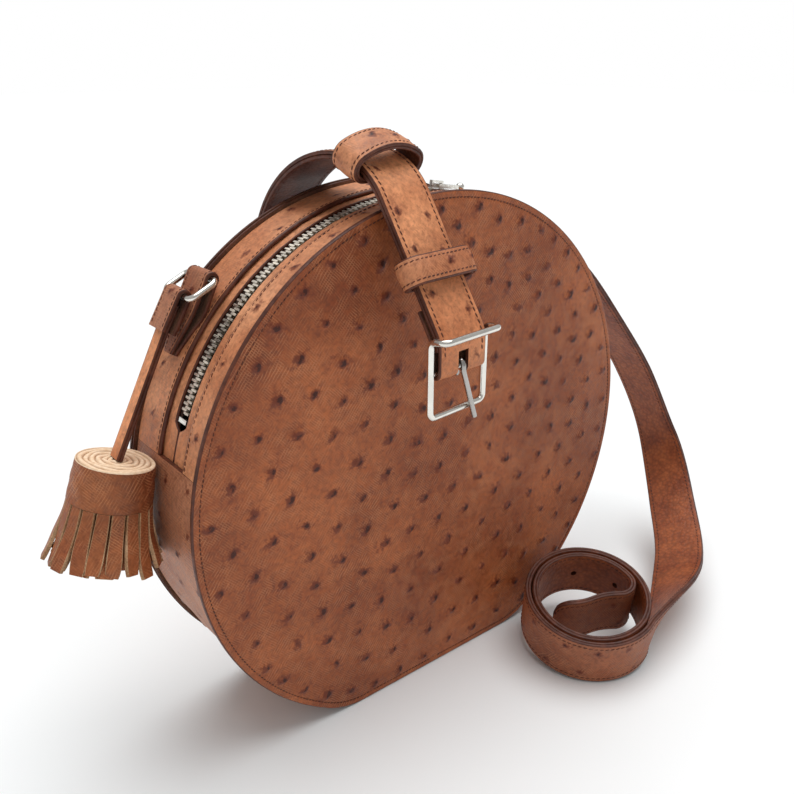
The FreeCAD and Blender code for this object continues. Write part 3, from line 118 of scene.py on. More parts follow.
def creases(place, turn, pitch, wander):
    """Fine crease lines side by side along one way, 1 on a line."""
    laid = step("Mapping", {"Vector": place, "Rotation": (0.4, radians(turn), 0.3)}).outputs[0]
    ends = {"Vector": laid, "Scale": 314.16 / pitch, "Distortion": wander, "Detail": 2.0, "Detail Scale": 0.5}
    lines = fade(step("TexWave", ends, bands_direction="X").outputs[1], 0.6, 0.98)
    return count("MULTIPLY", lines, fade(clouds(laid, 5.0, 4.0), 0.42, 0.62))


def ostrich_finish(label, pale, deep, hatch_share):
    """Mottled brown leather with crossed crease lines and dark quill marks from the mesh, with their painted
    shade.
    """
    finish, shader, place = new_finish(label, 0.5)
    quill = step("Attribute", {}, shader.id_data, attribute_name="quill").outputs["Fac"]
    colour = dye(fade(clouds(place, 36), 0.36, 0.64), tone(*deep), tone(*pale))
    rust = fade(clouds(place, 13, 4.0), 0.50, 0.74, 0.0, 0.55)
    colour = dye(rust, colour, tone(134, 64, 34))
    grain = clouds(place, 1.7, 5.0)
    colour = dye(1.0, colour, fade(grain, 0.36, 0.64, 0.82, 1.16), "MULTIPLY")
    hatch = count("MAXIMUM", creases(place, 40, 0.8, 4.0), creases(place, -46, 0.95, 4.5))
    worn = fade(clouds(place, 24, 2.0), 0.36, 0.62, 0.4 * hatch_share, hatch_share)
    hatch = count("MULTIPLY", hatch, worn)
    colour = dye(hatch, colour, tone(206, 140, 96))
    # The quill marks darken the colour: their own halo and pit, and the painted shade crescent beside each
    # mound.
    quill_tone_and_shade = count("ADD", quill, fade(clouds(place, 1.5), 0.36, 0.64, -0.2, 0.2))
    colour = dye(fade(quill_tone_and_shade, 0.10, 0.46, 0.0, 0.85), colour, tone(104, 42, 22))
    colour = dye(fade(quill_tone_and_shade, 0.60, 0.86), colour, tone(64, 22, 10))
    feed(shader, "Base Color", colour)
    feed(shader, "Roughness", fade(grain, 0.3, 0.7, 0.42, 0.62))
    raise_grain(shader, count("ADD", grain, hatch), 0.4, 0.0004)
    return finish


def smooth_finish(label, pale, deep, size, roughness):
    """Leather with a fine pebbled grain, for linings, painted edges and thread."""
    finish, shader, place = new_finish(label, roughness)
    colour = dye(fade(clouds(place, 9.0, 4.0), 0.34, 0.66), tone(*deep), tone(*pale))
    pebble = step("TexVoronoi", {"Vector": place, "Scale": 1000 / size}).outputs[0]
    fine = clouds(place, 0.6 * size, 4.0)
    feed(shader, "Base Color", dye(1.0, colour, fade(pebble, 0.15, 0.75, 1.1, 0.72), "MULTIPLY"))
    raise_grain(shader, count("SUBTRACT", fine, pebble), 0.5, 0.0003)
    return finish


panel_ostrich = ostrich_finish("ostrich_panel", (168, 92, 50), (130, 64, 32), 0.52)
edge_paint = smooth_finish("painted_edge", (104, 56, 38), (78, 38, 26), 2.4, 0.45)
flesh_side = smooth_finish("flesh_side", (122, 84, 62), (96, 62, 44), 1.0, 0.85)
thread = smooth_finish("waxed_thread", (112, 60, 40), (78, 38, 25), 0.5, 0.6)
largest_turn = 15


def walk(start, heading, pieces, gap, like=None):
    """Points and left-hand normals along straight runs (length,) and tangent arcs (radius, turn)."""
    x, y = start
    way = radians(heading)
    spots = [(x, y, way)]
    for piece, model in zip(pieces, like or pieces):
        turn = radians(piece[1]) if len(piece) == 2 else 0.0
        whole = model[0] * radians(abs(model[1])) if len(model) == 2 else model[0]
        parts = max(1, round(whole / gap), ceil(degrees(abs(turn)) / largest_turn))
        stride = 2 * piece[0] * sin(abs(turn) / parts / 2) if turn else piece[0] / parts
        for part in range(parts):
            x += stride * cos(way + turn / parts / 2)
            y += stride * sin(way + turn / parts / 2)
            way += turn / parts
            spots.append((x, y, way))
    spots = np.array(spots)
    return spots[:, :2], np.stack([-np.sin(spots[:, 2]), np.cos(spots[:, 2])], axis=1)


throws_in_area = 0.6
settle_rounds = 14
quill_reach = 6


def throw_quills(seed, low, high, spacing, largest=1.15):
    """Quills thrown at random over a rectangle, each kept where it is far enough from the rest."""
    draw = random.Random(seed)
    kept = []
    for throw in range(int(throws_in_area * (high[0] - low[0]) * (high[1] - low[1]))):
        x = draw.uniform(low[0], high[0])
        y = draw.uniform(low[1], high[1])
        room = spacing(x, y)
        if room and all((x - quill[0]) ** 2 + (y - quill[1]) ** 2 > room * room for quill in kept):
            size = draw.uniform(0.75, 1.0) * largest
            slant = draw.gauss(0.5, 0.5)
            kept.append((x, y, size, slant, draw.uniform(0.8, 1.1)))
    spots = np.array([quill[:2] for quill in kept])
    for settle in range(settle_rounds):
        gaps = spots[:, None] - spots[None]
        far = np.linalg.norm(gaps, axis=2) + 1000.0 * np.eye(len(spots))
        room = np.array([spacing(*spot) for spot in spots])
        push = np.clip(1.4 * room[:, None] / far - 1, 0, 0.4)
        moved = spots + 0.3 * (gaps * push[..., None]).sum(axis=1)
        inside = [low[0] <= x <= high[0] and low[1] <= y <= high[1] and spacing(x, y) > 0
                  for x, y in moved]
        spots = np.where(np.array(inside)[:, None], moved, spots)
    return [(x, y) + quill[2:] for (x, y), quill in zip(spots, kept)]


def quill_relief(points, quills):
    """Height of the quill mounds with their pits, and how dark each point is, a painted shade crescent
    included.
    """
    lift = np.zeros(len(points))
    mark = np.zeros(len(points))
    for x, y, size, slant, depth in quills:
        gap = points - (x, y)
        near = np.nonzero(np.abs(gap).max(axis=1) < quill_reach)[0]
        gap = gap[near]
        along = (gap[:, 0] * cos(slant) + gap[:, 1] * sin(slant)) / (1.25 * size)
        across = (gap[:, 1] * cos(slant) - gap[:, 0] * sin(slant)) / (0.9 * size)
        far = np.hypot(along, across)
        pit = np.hypot(along - 0.2, across - 0.15)
        lift[near] += size * (0.9 * np.exp(-(far / 1.4) ** 2) - 0.55 * np.exp(-(pit / 0.6) ** 2))
        # Painted shade: a dark crescent on one side of each mound's rim, added to the quill's own dark halo
        # and pit.
        shaded = 0.5 + 0.5 * np.cos(np.arctan2(across, along) + 0.9)
        crescent_shade = np.exp(-((far - 0.95) / 0.5) ** 2) * shaded
        dark = 0.55 * np.exp(-(far / 2.2) ** 2) + 0.6 * crescent_shade + 0.3 * np.exp(-(pit / 0.55) ** 2)
        mark[near] = np.maximum(mark[near], depth * dark)
    return lift, mark


def ripple(x, y, z, size):
    return noise.noise(Vector((x / size, y / size, z / size)))


def unit(vectors):
    """The same directions with length 1."""
    return vectors / np.linalg.norm(vectors, axis=-1, keepdims=True)


def distances(path):
    """How far along a path each of its points lies."""
    return np.concatenate([[0], np.cumsum(np.linalg.norm(np.diff(path, axis=0), axis=1))])


def in_round(points, y):
    """Places in width and height as points in space, at one depth or each at its own."""
    return np.stack([points[:, 0], np.full(len(points), y), points[:, 1]], axis=1)


def new_work():
    """An empty heap of points and faces for one piece."""
    return {"points": [], "quill": [], "faces": [], "finish": [], "size": 0}


def add_points(work, points, quill=None):
    first = work["size"]
    work["points"].append(points)
    work["quill"].append(np.zeros(len(points)) if quill is None else quill)
    work["size"] += len(points)
    return first


def add_face(work, corners, finish):
    work["faces"].append(tuple(int(corner) for corner in corners))
    work["finish"].append(int(finish))


def bridge(work, a, b, around, kinds, skipped=()):
    """Faces between two rings of points, all of one kind or each of its own."""
    for k, kind in enumerate(np.broadcast_to(kinds, around)):
        n = (k + 1) % around
        if k not in skipped:
            add_face(work, (a + k, a + n, b + n, b + k), kind)


def sew(work, path, outs, stitch):
    """A row of stitches along a path on a surface, each a small pill lying in the leather."""
    pitch, length, thick = stitch
    pill = ((-0.5, 0.3), (-0.3, 0.9), (0.0, 1.0), (0.3, 0.9), (0.5, 0.3))
    around = 6
    far = distances(path)

    def spots_at(places, rows):
        return np.stack([np.interp(places, far, rows[:, k]) for k in range(3)], axis=1)
    places = np.arange(pitch, far[-1] - pitch / 2, pitch)
    spots = spots_at(places, path)
    ways = unit(spots_at(places + 0.3, path) - spots_at(places - 0.3, path))
    up = spots_at(places, outs)
    sides = np.cross(up, ways)
    ways = ways + 0.15 * sides
    rows = []
    for share, fat in pill:
        for k in range(around):
            wide = cos(2 * pi * k / around) * fat * thick * 0.6
            high = sin(2 * pi * k / around) * fat * thick * 0.5
            rows.append(spots + ways * (share * length) + sides * wide + up * high)
    first = add_points(work, np.stack(rows, axis=1).reshape(-1, 3))
    for base in range(first, work["size"], len(rows)):
        last = base + len(rows) - around
        for ring in range(base, last, around):
            bridge(work, ring, ring + around, around, on_thread)
        add_face(work, range(base + around - 1, base - 1, -1), on_thread)
        add_face(work, range(last, last + around), on_thread)


def show(label, data):
    """A new object in the scene."""
    item = bpy.data.objects.new(label, data)
    scene.collection.objects.link(item)
    return item


def make_piece(label, work, finishes, *nodes, body="bag", slot="ostrich_leather"):
    """One object from a heap, moving with a body and standing for the CAD nodes named."""
    mesh = bpy.data.meshes.new(label)
    mesh.from_pydata((np.concatenate(work["points"]) / 1000).tolist(), [], work["faces"])
    mesh.polygons.foreach_set("material_index", work["finish"])
    marks = mesh.attributes.new("quill", "FLOAT", "POINT")
    marks.data.foreach_set("value", np.concatenate(work["quill"]))
    for finish in finishes:
        mesh.materials.append(finish)
    shape = bmesh.new()
    shape.from_mesh(mesh)
    bmesh.ops.delete(shape, geom=[v for v in shape.verts if not v.link_faces], context="VERTS")
    bmesh.ops.recalc_face_normals(shape, faces=shape.faces)
    shape.to_mesh(mesh)
    shape.free()
    mesh.polygons.foreach_set("use_smooth", [True] * len(mesh.polygons))
    mesh.set_sharp_from_angle(angle=radians(55))
    piece = show(label, mesh)
    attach(piece, body)
    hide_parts(*nodes)
    return piece


bag_sides = [(base_half,), (corner_radius, corner_turn), (bag_radius, 360 - 2 * corner_turn),
             (corner_radius, corner_turn), (base_half,)]


def bag_outline(inset, gap):
    """Closed outline of the bag in width and height, moved inwards, and its inward normals."""
    points, inward = walk((0.0, 0.0), 0.0, bag_sides, gap)
    return points[:-1] + inward[:-1] * inset, inward[:-1]


def edge_distance(points):
    """How far points lie inside the bag's outline."""
    x = np.abs(points[:, 0])
    z = points[:, 1]
    gap = np.minimum(bag_radius - np.hypot(x, z - centre_height), z)
    dx = x - base_half
    dz = z - corner_radius
    turn = np.degrees(np.arctan2(dx, -dz))
    at_corner = (dx > 0) & (turn < corner_turn) & (dz < 0)
    return np.where(at_corner, corner_radius - np.hypot(dx, dz), gap)


painted_rings = 3
row_share = 0.866
quill_clear = 3.9
quill_rings = ((0.6, 6), (1.2, 9), (1.9, 12), (2.8, 14))
groove_depth, groove_half = 0.3, 0.45


def flat_round(face_y, facing, thickness, inset, rings, gap, lattice, crown, quills):
    """A sheet cut to the bag's outline: rings by its edge, a lattice inside, closer points at quills."""
    spots = [bag_outline(inset + ring, gap)[0] for ring, drop in rings]
    around = len(spots[0])
    drops = np.repeat([drop for ring, drop in rings], around)
    inner = []
    for row in range(int(2 * bag_radius / (lattice * row_share)) + 1):
        for column in range(-int(bag_radius / lattice) - 1, int(bag_radius / lattice) + 2):
            inner.append(((column + 0.5 * (row % 2)) * lattice, row * lattice * row_share))
    inner = np.array(inner)
    inner = inner[edge_distance(inner) > inset + rings[-1][0] + 0.5 * lattice]
    near = []
    for x, z in [quill[:2] for quill in quills]:
        inner = inner[np.hypot(inner[:, 0] - x, inner[:, 1] - z) > quill_clear]
        near.append((x, z))
        for ring, number in quill_rings:
            turns = [2 * pi * (k + 0.5 * ring) / number for k in range(number)]
            near += [(x + ring * cos(turn), z + ring * sin(turn)) for turn in turns]
    flat = np.concatenate(spots + [inner, np.reshape(near, (-1, 2))])
    edge = edge_distance(flat) - inset
    lift, mark = quill_relief(flat, quills)
    lift += crown * np.sin(np.clip(edge / crown_reach, 0, 1) * pi / 2)
    lift[:len(drops)] -= drops
    if quills:
        lift -= groove_depth * np.exp(-((edge - seam_inset) / groove_half) ** 2)
        wave = np.array([ripple(x, 7.0 * facing, z, 19.0) for x, z in flat])
        lift += 0.35 * wave * np.clip(edge / 8, 0, 1)
    work = new_work()
    add_points(work, in_round(flat, face_y + facing * lift), mark)
    made = delaunay_2d_cdt([Vector(spot) for spot in flat], [], [], 0, 1e-6)
    place = [origin[0] for origin in made[3]]
    for corners in made[2]:
        corners = [place[corner] for corner in corners]
        add_face(work, corners, on_edge if max(corners) < painted_rings * around else on_face)
    back = add_points(work, in_round(flat[:around], face_y - facing * thickness))
    bridge(work, 0, back, around, on_edge)
    add_face(work, range(back, back + around), on_back)
    return work


quill_margin = 5.5
quill_room, closer_by, closer_over = 11.0, 2.4, 110


def panel_spacing(x, z):
    """Room between quills: closer together towards the upper right, none beside the seam."""
    if edge_distance(np.array([(x, z)]))[0] < quill_margin:
        return 0.0
    return quill_room - closer_by * min(max((x + z - centre_height) / closer_over, 0.0), 1.0)


throw_top = 200.0
panel_gap, panel_lattice = 1.6, 2.6
panel_rings = [(0.0, 0.6), (0.14, 0.24), (0.4, 0.05)]
panel_rings += [(ring, 0.0) for ring in (0.9, 1.6, 2.1, 2.5, 2.9, 3.5, 4.6)]
panel_stitch = (1.7, 1.25, 0.42)
thread_sunk = 0.22
seam_rise = panel_face + panel_crown * sin(seam_inset / crown_reach * pi / 2) - thread_sunk
for label, facing, seed in (("front_panel", -1, 11), ("back_panel", 1, 23)):
    quills = throw_quills(seed, (-bag_radius, 0.0), (bag_radius, throw_top), panel_spacing)
    work = flat_round(panel_face * facing, facing, panel_leather, 0.0, panel_rings, panel_gap,
                      panel_lattice, panel_crown, quills)
    seam = in_round(bag_outline(seam_inset, panel_gap)[0], facing * seam_rise)
    sew(work, seam, np.tile((0.0, facing, 0.0), (len(seam), 1)), panel_stitch)
    make_piece(label + "_leather", work, [panel_ostrich, edge_paint, flesh_side, thread], label)

# Welts: flat rings of leather sewn between each panel and the gusset, with a dark painted edge.
# Only the edge shows, as the second dark line beside the panel's own.
welt_face = 23.4
welt_ring = (0.4, 9.6)
welt_leather = 1.0
hem_width = 2.0
layer_groove = ((-0.2, 0), (0, 0.25), (0.2, 0))


def strip_section(columns, thickness, rounding, turned=(0.0, 0.0), layered=False):
    """Once round a strip's section: share across, millimetres added, depth, and face, edge or back."""
    def side(high):
        way = 1 if high else -1
        flange = turned[high]
        arc = [(way * rounding * (sin(a) - 1), rounding * (1 - cos(a))) for a in map(radians, (30, 60, 90))]
        rows = [(high, more, depth, on_face if flange else on_edge) for more, depth in arc]
        if flange:
            return rows + [(high, 0.0, flange, on_back), (high, -way * rounding, flange, on_back)]
        if layered:
            rows += [(high, -way * inward, thickness / 2 + shift, on_edge)
                     for shift, inward in layer_groove]
        return rows + [(high, more, thickness - depth, on_edge) for more, depth in reversed(arc)]
    rows = [(share, rounding * (1 - 2 * share), 0.0, on_face) for share in columns]
    rows[-1] = rows[-1][:3] + (on_face if turned[1] else on_edge,)
    back = [(share, rounding * (1 - 2 * share), thickness, on_back) for share in reversed(columns)]
    back[-1] = back[-1][:3] + (on_back if turned[0] else on_edge,)
    return np.array(rows + side(1) + back + list(reversed(side(0))))


def lay_band(middle, across, out, low, high, section, closed=False, relief=None, windows=(), work=None):
    """A strip of leather along a row of places, from its outer face inwards, with holes where asked."""
    work = new_work() if work is None else work
    number = len(middle)
    across = np.broadcast_to(across, (number, 3))
    out = np.broadcast_to(out, (number, 3))
    low = np.broadcast_to(low, number)[:, None]
    high = np.broadcast_to(high, number)[:, None]
    kinds = section[:, 3].astype(int)
    wide = low + (high - low) * section[:, 0] + section[:, 1]
    lift = -np.repeat(section[None, :, 2], number, axis=0)
    mark = np.zeros_like(wide)
    face = section[:, 2] == 0
    columns = int(face.sum())
    if relief:
        hem = np.clip(np.minimum(wide - low, high - wide) / hem_width, 0, 1)[:, face]
        raised, marked = relief(np.repeat(distances(middle)[:, None], columns, axis=1), wide[:, face])
        lift[:, face] += raised * hem
        mark[:, face] = marked
    points = middle[:, None] + across[:, None] * wide[..., None] + out[:, None] * lift[..., None]
    turned_over = int(np.argmax(kinds == on_back))
    around = len(section)
    skipped = {}
    walls = []

    def behind(column):
        return turned_over + columns - 1 - column
    for start, end, left, right, radius in windows:
        ring = [(i, left) for i in range(start, end)] + [(end, c) for c in range(left, right)]
        ring += [(i, right) for i in range(end, start, -1)] + [(start, c) for c in range(right, left, -1)]
        if radius:
            centre_i, centre_c = (start + end) // 2, (left + right) // 2
            ahead = unit(middle[centre_i + 1] - middle[centre_i - 1])
            for i, c in ring:
                way = radius * unit(np.array([i - centre_i, c - centre_c], float))
                for column in (c, behind(c)):
                    shift = ahead * way[0] + across[centre_i] * way[1]
                    points[i, column] = middle[centre_i] + shift + out[centre_i] * lift[i, column]
        for i in range(start, end):
            for c in range(left, right):
                skipped.setdefault(i, set()).update({c, behind(c + 1)})
        walls += [(ring[k], ring[(k + 1) % len(ring)]) for k in range(len(ring))]
    first = add_points(work, points.reshape(-1, 3), mark.reshape(-1))
    for i in range(number if closed else number - 1):
        following = (i + 1) % number
        bridge(work, first + i * around, first + following * around, around, kinds, skipped.get(i, ()))
    for (i, c), (n, d) in walls:
        a = first + i * around
        b = first + n * around
        add_face(work, (a + c, b + d, b + behind(d), a + behind(c)), on_edge)
    if not closed:
        add_face(work, range(first, first + around), on_edge)
        add_face(work, range(work["size"] - around, work["size"]), on_edge)
    return work


def even(parts):
    return [k / parts for k in range(parts + 1)]


for label, facing in (("front_welt", -1), ("back_welt", 1)):
    ring, inward = bag_outline(0.0, 2.4)
    work = lay_band(in_round(ring, welt_face * facing), in_round(inward, 0.0), (0.0, facing, 0.0),
                    *welt_ring, strip_section(even(3), welt_leather, 0.3), closed=True)
    make_piece(label + "_leather", work, [edge_paint, edge_paint, flesh_side], label, slot="edge_leather")

# Base gusset: one strip of ostrich leather round the bottom, 45 mm wide, its long edges turned in
# and sewn to the panels. It ends at the two seams beside the zip's ends.
gusset_leather = 1.6
gusset_inset = 1.6
gusset_half = 22.4
seam_half_angle = 77.0
seam_turn_in = 8.0
end_margin, edge_margin = 4.0, 4.2
strip_quill = 0.75
backward = np.array([0.0, 1.0, 0.0])
gusset_ostrich = ostrich_finish("ostrich_gusset", (186, 128, 98), (154, 96, 68), 0.5)
gusset_finishes = [gusset_ostrich, edge_paint, flesh_side, thread]
side_turn = 180 - corner_turn - seam_half_angle
side_start = radians(90 + seam_half_angle)
lower_sides = [(bag_radius, side_turn), (corner_radius, corner_turn), (2 * base_half,),
               (corner_radius, corner_turn), (bag_radius, side_turn)]
lower_start = (bag_radius * cos(side_start), centre_height + bag_radius * sin(side_start))
lower_heading = 180 + seam_half_angle


def strip_relief(quills, wave, level, size):
    """Relief of a strip: its quills and a slight unevenness."""
    def relief(far, wide):
        spots = np.stack([far.ravel(), wide.ravel()], axis=1)
        lift, mark = quill_relief(spots, quills)
        lift += np.array([wave * ripple(x, y, level, size) for x, y in spots])
        return lift.reshape(far.shape), mark.reshape(far.shape)
    return relief


def quilled(seed, length, low, high, spacing, wave=0.2):
    """Relief of a strip that has quills all over."""
    quills = throw_quills(seed, (end_margin, low + edge_margin), (length - end_margin, high - edge_margin),
                          lambda x, y: spacing, strip_quill)
    return strip_relief(quills, wave, seed, 7.0)


points, inward = walk(lower_start, lower_heading, lower_sides, 1.3)
work = lay_band(in_round(points + inward * gusset_inset, 0.0), backward, in_round(-inward, 0.0),
                -gusset_half, gusset_half,
                strip_section(even(36), gusset_leather, 1.0, (seam_turn_in, seam_turn_in)),
                relief=quilled(31, 420.0, -gusset_half, gusset_half, 11.5))
make_piece("base_gusset_leather", work, gusset_finishes, "base_gusset")

# Zip gusset: a narrow strip in front of the zip and a wider one behind it, of paler ostrich leather.
# The outer edge of each is turned in at the panel, the inner edge painted and topstitched.
gusset_radius = 103.4
strip_half_angle = seam_half_angle - 0.06
front_strip, front_seam = (-22.4, -12.0), -13.7
back_strip, back_seam = (4.8, 22.4), 6.5
column_width = 1.15
narrow_stitch = (2.0, 1.5, 0.45)
strip_ostrich = ostrich_finish("ostrich_zip_strip", (224, 158, 116), (190, 120, 80), 0.45)
strip_finishes = [strip_ostrich, edge_paint, flesh_side, thread]


def over_top(radius, half_angle, gap):
    """An arc over the bag's top, from right to left, with its outward normals."""
    start = radians(90 - half_angle)
    spot = (radius * cos(start), centre_height + radius * sin(start))
    points, inward = walk(spot, 180 - half_angle, [(radius, 2 * half_angle)], gap)
    return in_round(points, 0.0), in_round(-inward, 0.0)


arc, outward = over_top(gusset_radius, strip_half_angle, 1.2)
for label, (low, high), seam, turned, seed in (
        ("front_zip_strip", front_strip, front_seam, (seam_turn_in, 0.0), 41),
        ("back_zip_strip", back_strip, back_seam, (0.0, seam_turn_in), 43)):
    section = strip_section(even(round((high - low) / column_width)), gusset_leather, 1.0, turned)
    work = lay_band(arc, backward, outward, low, high, section,
                    relief=quilled(seed, 277.0, low, high, 12.5, 0.3))
    sew(work, arc + backward * seam, outward, narrow_stitch)
    make_piece(label + "_leather", work, strip_finishes, label)

# Zip facings: thin leather tucked under the strips on both sides of the teeth. Past the ends
# of the zip they close up to the middle line. The leather is a little crumpled.
facing_top = 101.7
facing_leather = 1.2
facing_front, facing_back = -14.4, 7.2
zip_middle = -2.8
zip_gap = 3.6
zip_end = 69.7
closing_angle, closing_clear = 1.4, 0.05
arc, outward = over_top(facing_top, strip_half_angle, 1.2)
past_zip = np.abs(np.linspace(-seam_half_angle, seam_half_angle, len(arc))) - zip_end
closing = np.clip(past_zip / closing_angle, 0, 1)
closing = (zip_gap - closing_clear) * closing * closing * (3 - 2 * closing)


def crumpled(far, wide):
    lift = [0.35 * ripple(x, 2.2 * y, 5.0, 3.4) + 0.2 * ripple(x, y, 9.0, 1.7)
            for x, y in zip(far.ravel(), wide.ravel())]
    return np.array(lift).reshape(far.shape), np.zeros_like(far)


for label, low, high in (("front_zip_facing", facing_front, zip_middle - zip_gap + closing),
                         ("back_zip_facing", zip_middle + zip_gap - closing, facing_back)):
    work = lay_band(arc, backward, outward, low, high, strip_section(even(8), facing_leather, 0.5),
                    relief=crumpled)
    make_piece(label + "_leather", work, strip_finishes, label)

# Zip tapes: woven cotton tape under the facings, dyed dark, one on each side of the teeth.
# Ribs run along the zip, crossed by a slanting weft.
tape_top = 100.4
tape_half_angle = 76.0
tape_cloth = 0.5


def ribs(place, scale, wander, way):
    """Even ribs of a weave, side by side along one way."""
    ends = {"Vector": place, "Scale": scale, "Distortion": wander}
    return step("TexWave", ends, bands_direction=way).outputs[0]


tape_weave, shader, place = new_finish("woven_tape", 0.9)
rib = ribs(place, 900.0, 1.5, "Y")
weft = ribs(place, 700.0, 1.0, "DIAGONAL")
feed(shader, "Base Color", dye(count("MULTIPLY", rib, weft), tone(44, 28, 22), tone(86, 56, 42)))
raise_grain(shader, count("ADD", rib, weft), 0.6, 0.0002)
arc, outward = over_top(tape_top, tape_half_angle, 1.8)
for label, low, high in (("front_zip_tape", -13.85, -5.35), ("back_zip_tape", -0.25, 8.25)):
    work = lay_band(arc, backward, outward, low, high, strip_section(even(4), tape_cloth, 0.15))
    make_piece(label + "_weave", work, [tape_weave] * 3, label, slot="zip_tape")

# Metal of the zip: stamped teeth and end stops clamped on the tapes, two cast sliders with a bridge,
# and a slim pull on each. They keep their CAD shapes and get a bright nickel plate with fine scratches.


def nickel_finish(label, shade, roughness):
    finish, shader, place = new_finish(label, roughness, 1.0)
    scratch = step("Mapping", {"Vector": place, "Scale": (1.0, 0.15, 1.0)}).outputs[0]
    worn = clouds(scratch, 0.8, 4.0)
    dull = fade(clouds(place, 6.0), 0.35, 0.65, 0.9, 1.05)
    feed(shader, "Base Color", dye(1.0, tone(*shade), dull, "MULTIPLY"))
    feed(shader, "Roughness", fade(worn, 0.35, 0.7, 0.7 * roughness, 1.7 * roughness))
    raise_grain(shader, worn, 0.06, 0.0001)
    return finish


def plate(finish, *nodes):
    for name in nodes:
        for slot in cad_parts[name].material_slots:
            slot.material = finish


bright_nickel = nickel_finish("bright_nickel", (232, 228, 220), 0.16)
plate(bright_nickel, "left_zip_slider", "left_zip_pull", "right_zip_slider", "right_zip_pull",
      "zip_end_stops")
# Painted light: the zip teeth get a brighter base colour than the other nickel, standing in for the bright
# surroundings they reflect.
plate(nickel_finish("zip_nickel_painted_bright", (248, 240, 226), 0.42), "front_zip_teeth", "back_zip_teeth")

# Boards and lining inside the bag: stiff fibre boards behind both panels and in the base, and a cotton
# lining cloth over them. All of it is hidden in the closed bag.
fibre_board, shader, place = new_finish("fibre_board", 0.9)
fibres = clouds(place, 1.5, 6.0)
feed(shader, "Base Color", dye(fade(fibres, 0.3, 0.7), tone(120, 98, 76), tone(160, 136, 108)))
raise_grain(shader, fibres, 0.4, 0.0003)
plate(fibre_board, "front_stiffener", "back_stiffener", "base_board")

lining_cotton, shader, place = new_finish("lining_cotton", 0.95)
woven = count("MULTIPLY", ribs(place, 500.0, 0.6, "X"), ribs(place, 500.0, 0.6, "Z"))
feed(shader, "Base Color", dye(woven, tone(104, 78, 60), tone(146, 116, 92)))
raise_grain(shader, woven, 0.5, 0.0002)
lining_thick = 0.6
lining_face, lining_inset = 20.8, 3.6
lining_gap, lining_lattice, lining_crown = 3.0, 9.0, 0.3
lining_rings = [(0.0, 0.15), (0.15, 0.04), (0.4, 0.0), (3.0, 0.0)]
cut = bag_outline(lining_inset, lining_gap)[0] / 1000
ahead = np.roll(cut, -1, axis=0)
for label, board, facing in (("front_lining", "front_stiffener", 1), ("back_lining", "back_stiffener", -1)):
    work = flat_round(-lining_face * facing, facing, lining_thick, lining_inset, lining_rings, lining_gap,
                      lining_lattice, lining_crown, [])
    cloth = make_piece(label + "_cloth", work, [lining_cotton] * 3, label, slot="lining_cloth")
wall_inset, wall_half = 3.9, 20.7
points, inward = walk(lower_start, lower_heading, lower_sides, lining_gap)
line = points + inward * wall_inset
work = lay_band(in_round(line, 0.0), backward, in_round(inward, 0.0), -wall_half, wall_half,
                strip_section(even(6), lining_thick, 0.15))
cloth = make_piece("gusset_lining_cloth", work, [lining_cotton] * 3, "gusset_lining", slot="lining_cloth")

# Short strap: two layers of leather, sewn along both edges, from a foot on the back panel over the top
# in an arch and down the front. Its outer layer is folded round the buckle's bar, slotted for the prong.
strap_half = 11.25
strap_leather = 1.3
layer_gap = 0.1
strap_layers = 2 * strap_leather + layer_gap
strap_yaw = radians(6.0)
strap_right = np.array([cos(strap_yaw), sin(strap_yaw), 0.0])
strap_ahead = np.array([sin(strap_yaw), -cos(strap_yaw), 0.0])
strap_origin = np.array([-23.6, 0.0, 0.0])
upward = np.array([0.0, 0.0, 1.0])
foot_face, foot_end = 25.2, 78.0
arch_forward = 5.5
arch_back, arch_front, arch_foot = 50.0, 27.0, 30.0
strap_top = 213.0
fall, fall_run = 58.0, 47.0
hang_bend, hang_run, tuck_run = 12.0, 7.3, 9.0
bar_fold = 2.45
bar_height = 146.791
strap_seam = strap_half - 2.0
strap_stitch, lining_stitch = (2.2, 1.7, 0.5), (2.2, 1.7, 0.4)
strap_ostrich = ostrich_finish("ostrich_strap", (230, 154, 106), (196, 120, 76), 0.4)
strap_lining = smooth_finish("strap_lining", (112, 58, 34), (80, 38, 22), 1.1, 0.5)


def in_plane(flat, first, second):
    """Flat places as points in space, measured along two directions."""
    return flat[:, :1] * first + flat[:, 1:] * second


def strap_route(across, folded):
    """The strap's outer face at a place across it, with or without its fold: a start and pieces."""
    foot = -(foot_face + strap_layers - across * sin(strap_yaw)) / cos(strap_yaw)
    reach = arch_back + arch_foot
    swing = acos((arch_forward + arch_foot - foot) / reach)
    height = strap_top - arch_back - reach * sin(swing)
    turn = degrees(swing)
    pieces = [(height - foot_end,), (arch_foot, turn), (arch_back, -turn - 90), (arch_front, -fall),
              (fall_run,), (hang_bend, fall - 90)]
    if folded:
        pieces += [(hang_run,), (bar_fold, -180), (hang_run,)]
        pieces += [(hang_bend - 2 * bar_fold, 90 - fall), (tuck_run,)]
    return (foot, foot_end), pieces


def strap_stations(folded, depth, gap):
    """Middle, width and outward directions of a strap layer, from its two long edges."""
    def side(across):
        start, pieces = strap_route(across, folded)
        points, left = walk(start, 90, pieces, gap, strap_route(0.0, folded)[1])
        spots = in_plane(points - left * depth, strap_ahead, upward)
        return strap_origin + strap_right * across + spots, in_plane(left, strap_ahead, upward)
    low, out = side(-strap_half)
    high = side(strap_half)[0]
    return (low + high) / 2, unit(high - low), out


def sew_edges(work, middle, across, out, wide, stitch):
    """Two rows of stitches along a strip, this far from its middle line on both sides."""
    for side in (-1, 1):
        sew(work, middle + across * (side * np.reshape(wide, (-1, 1))), out, stitch)


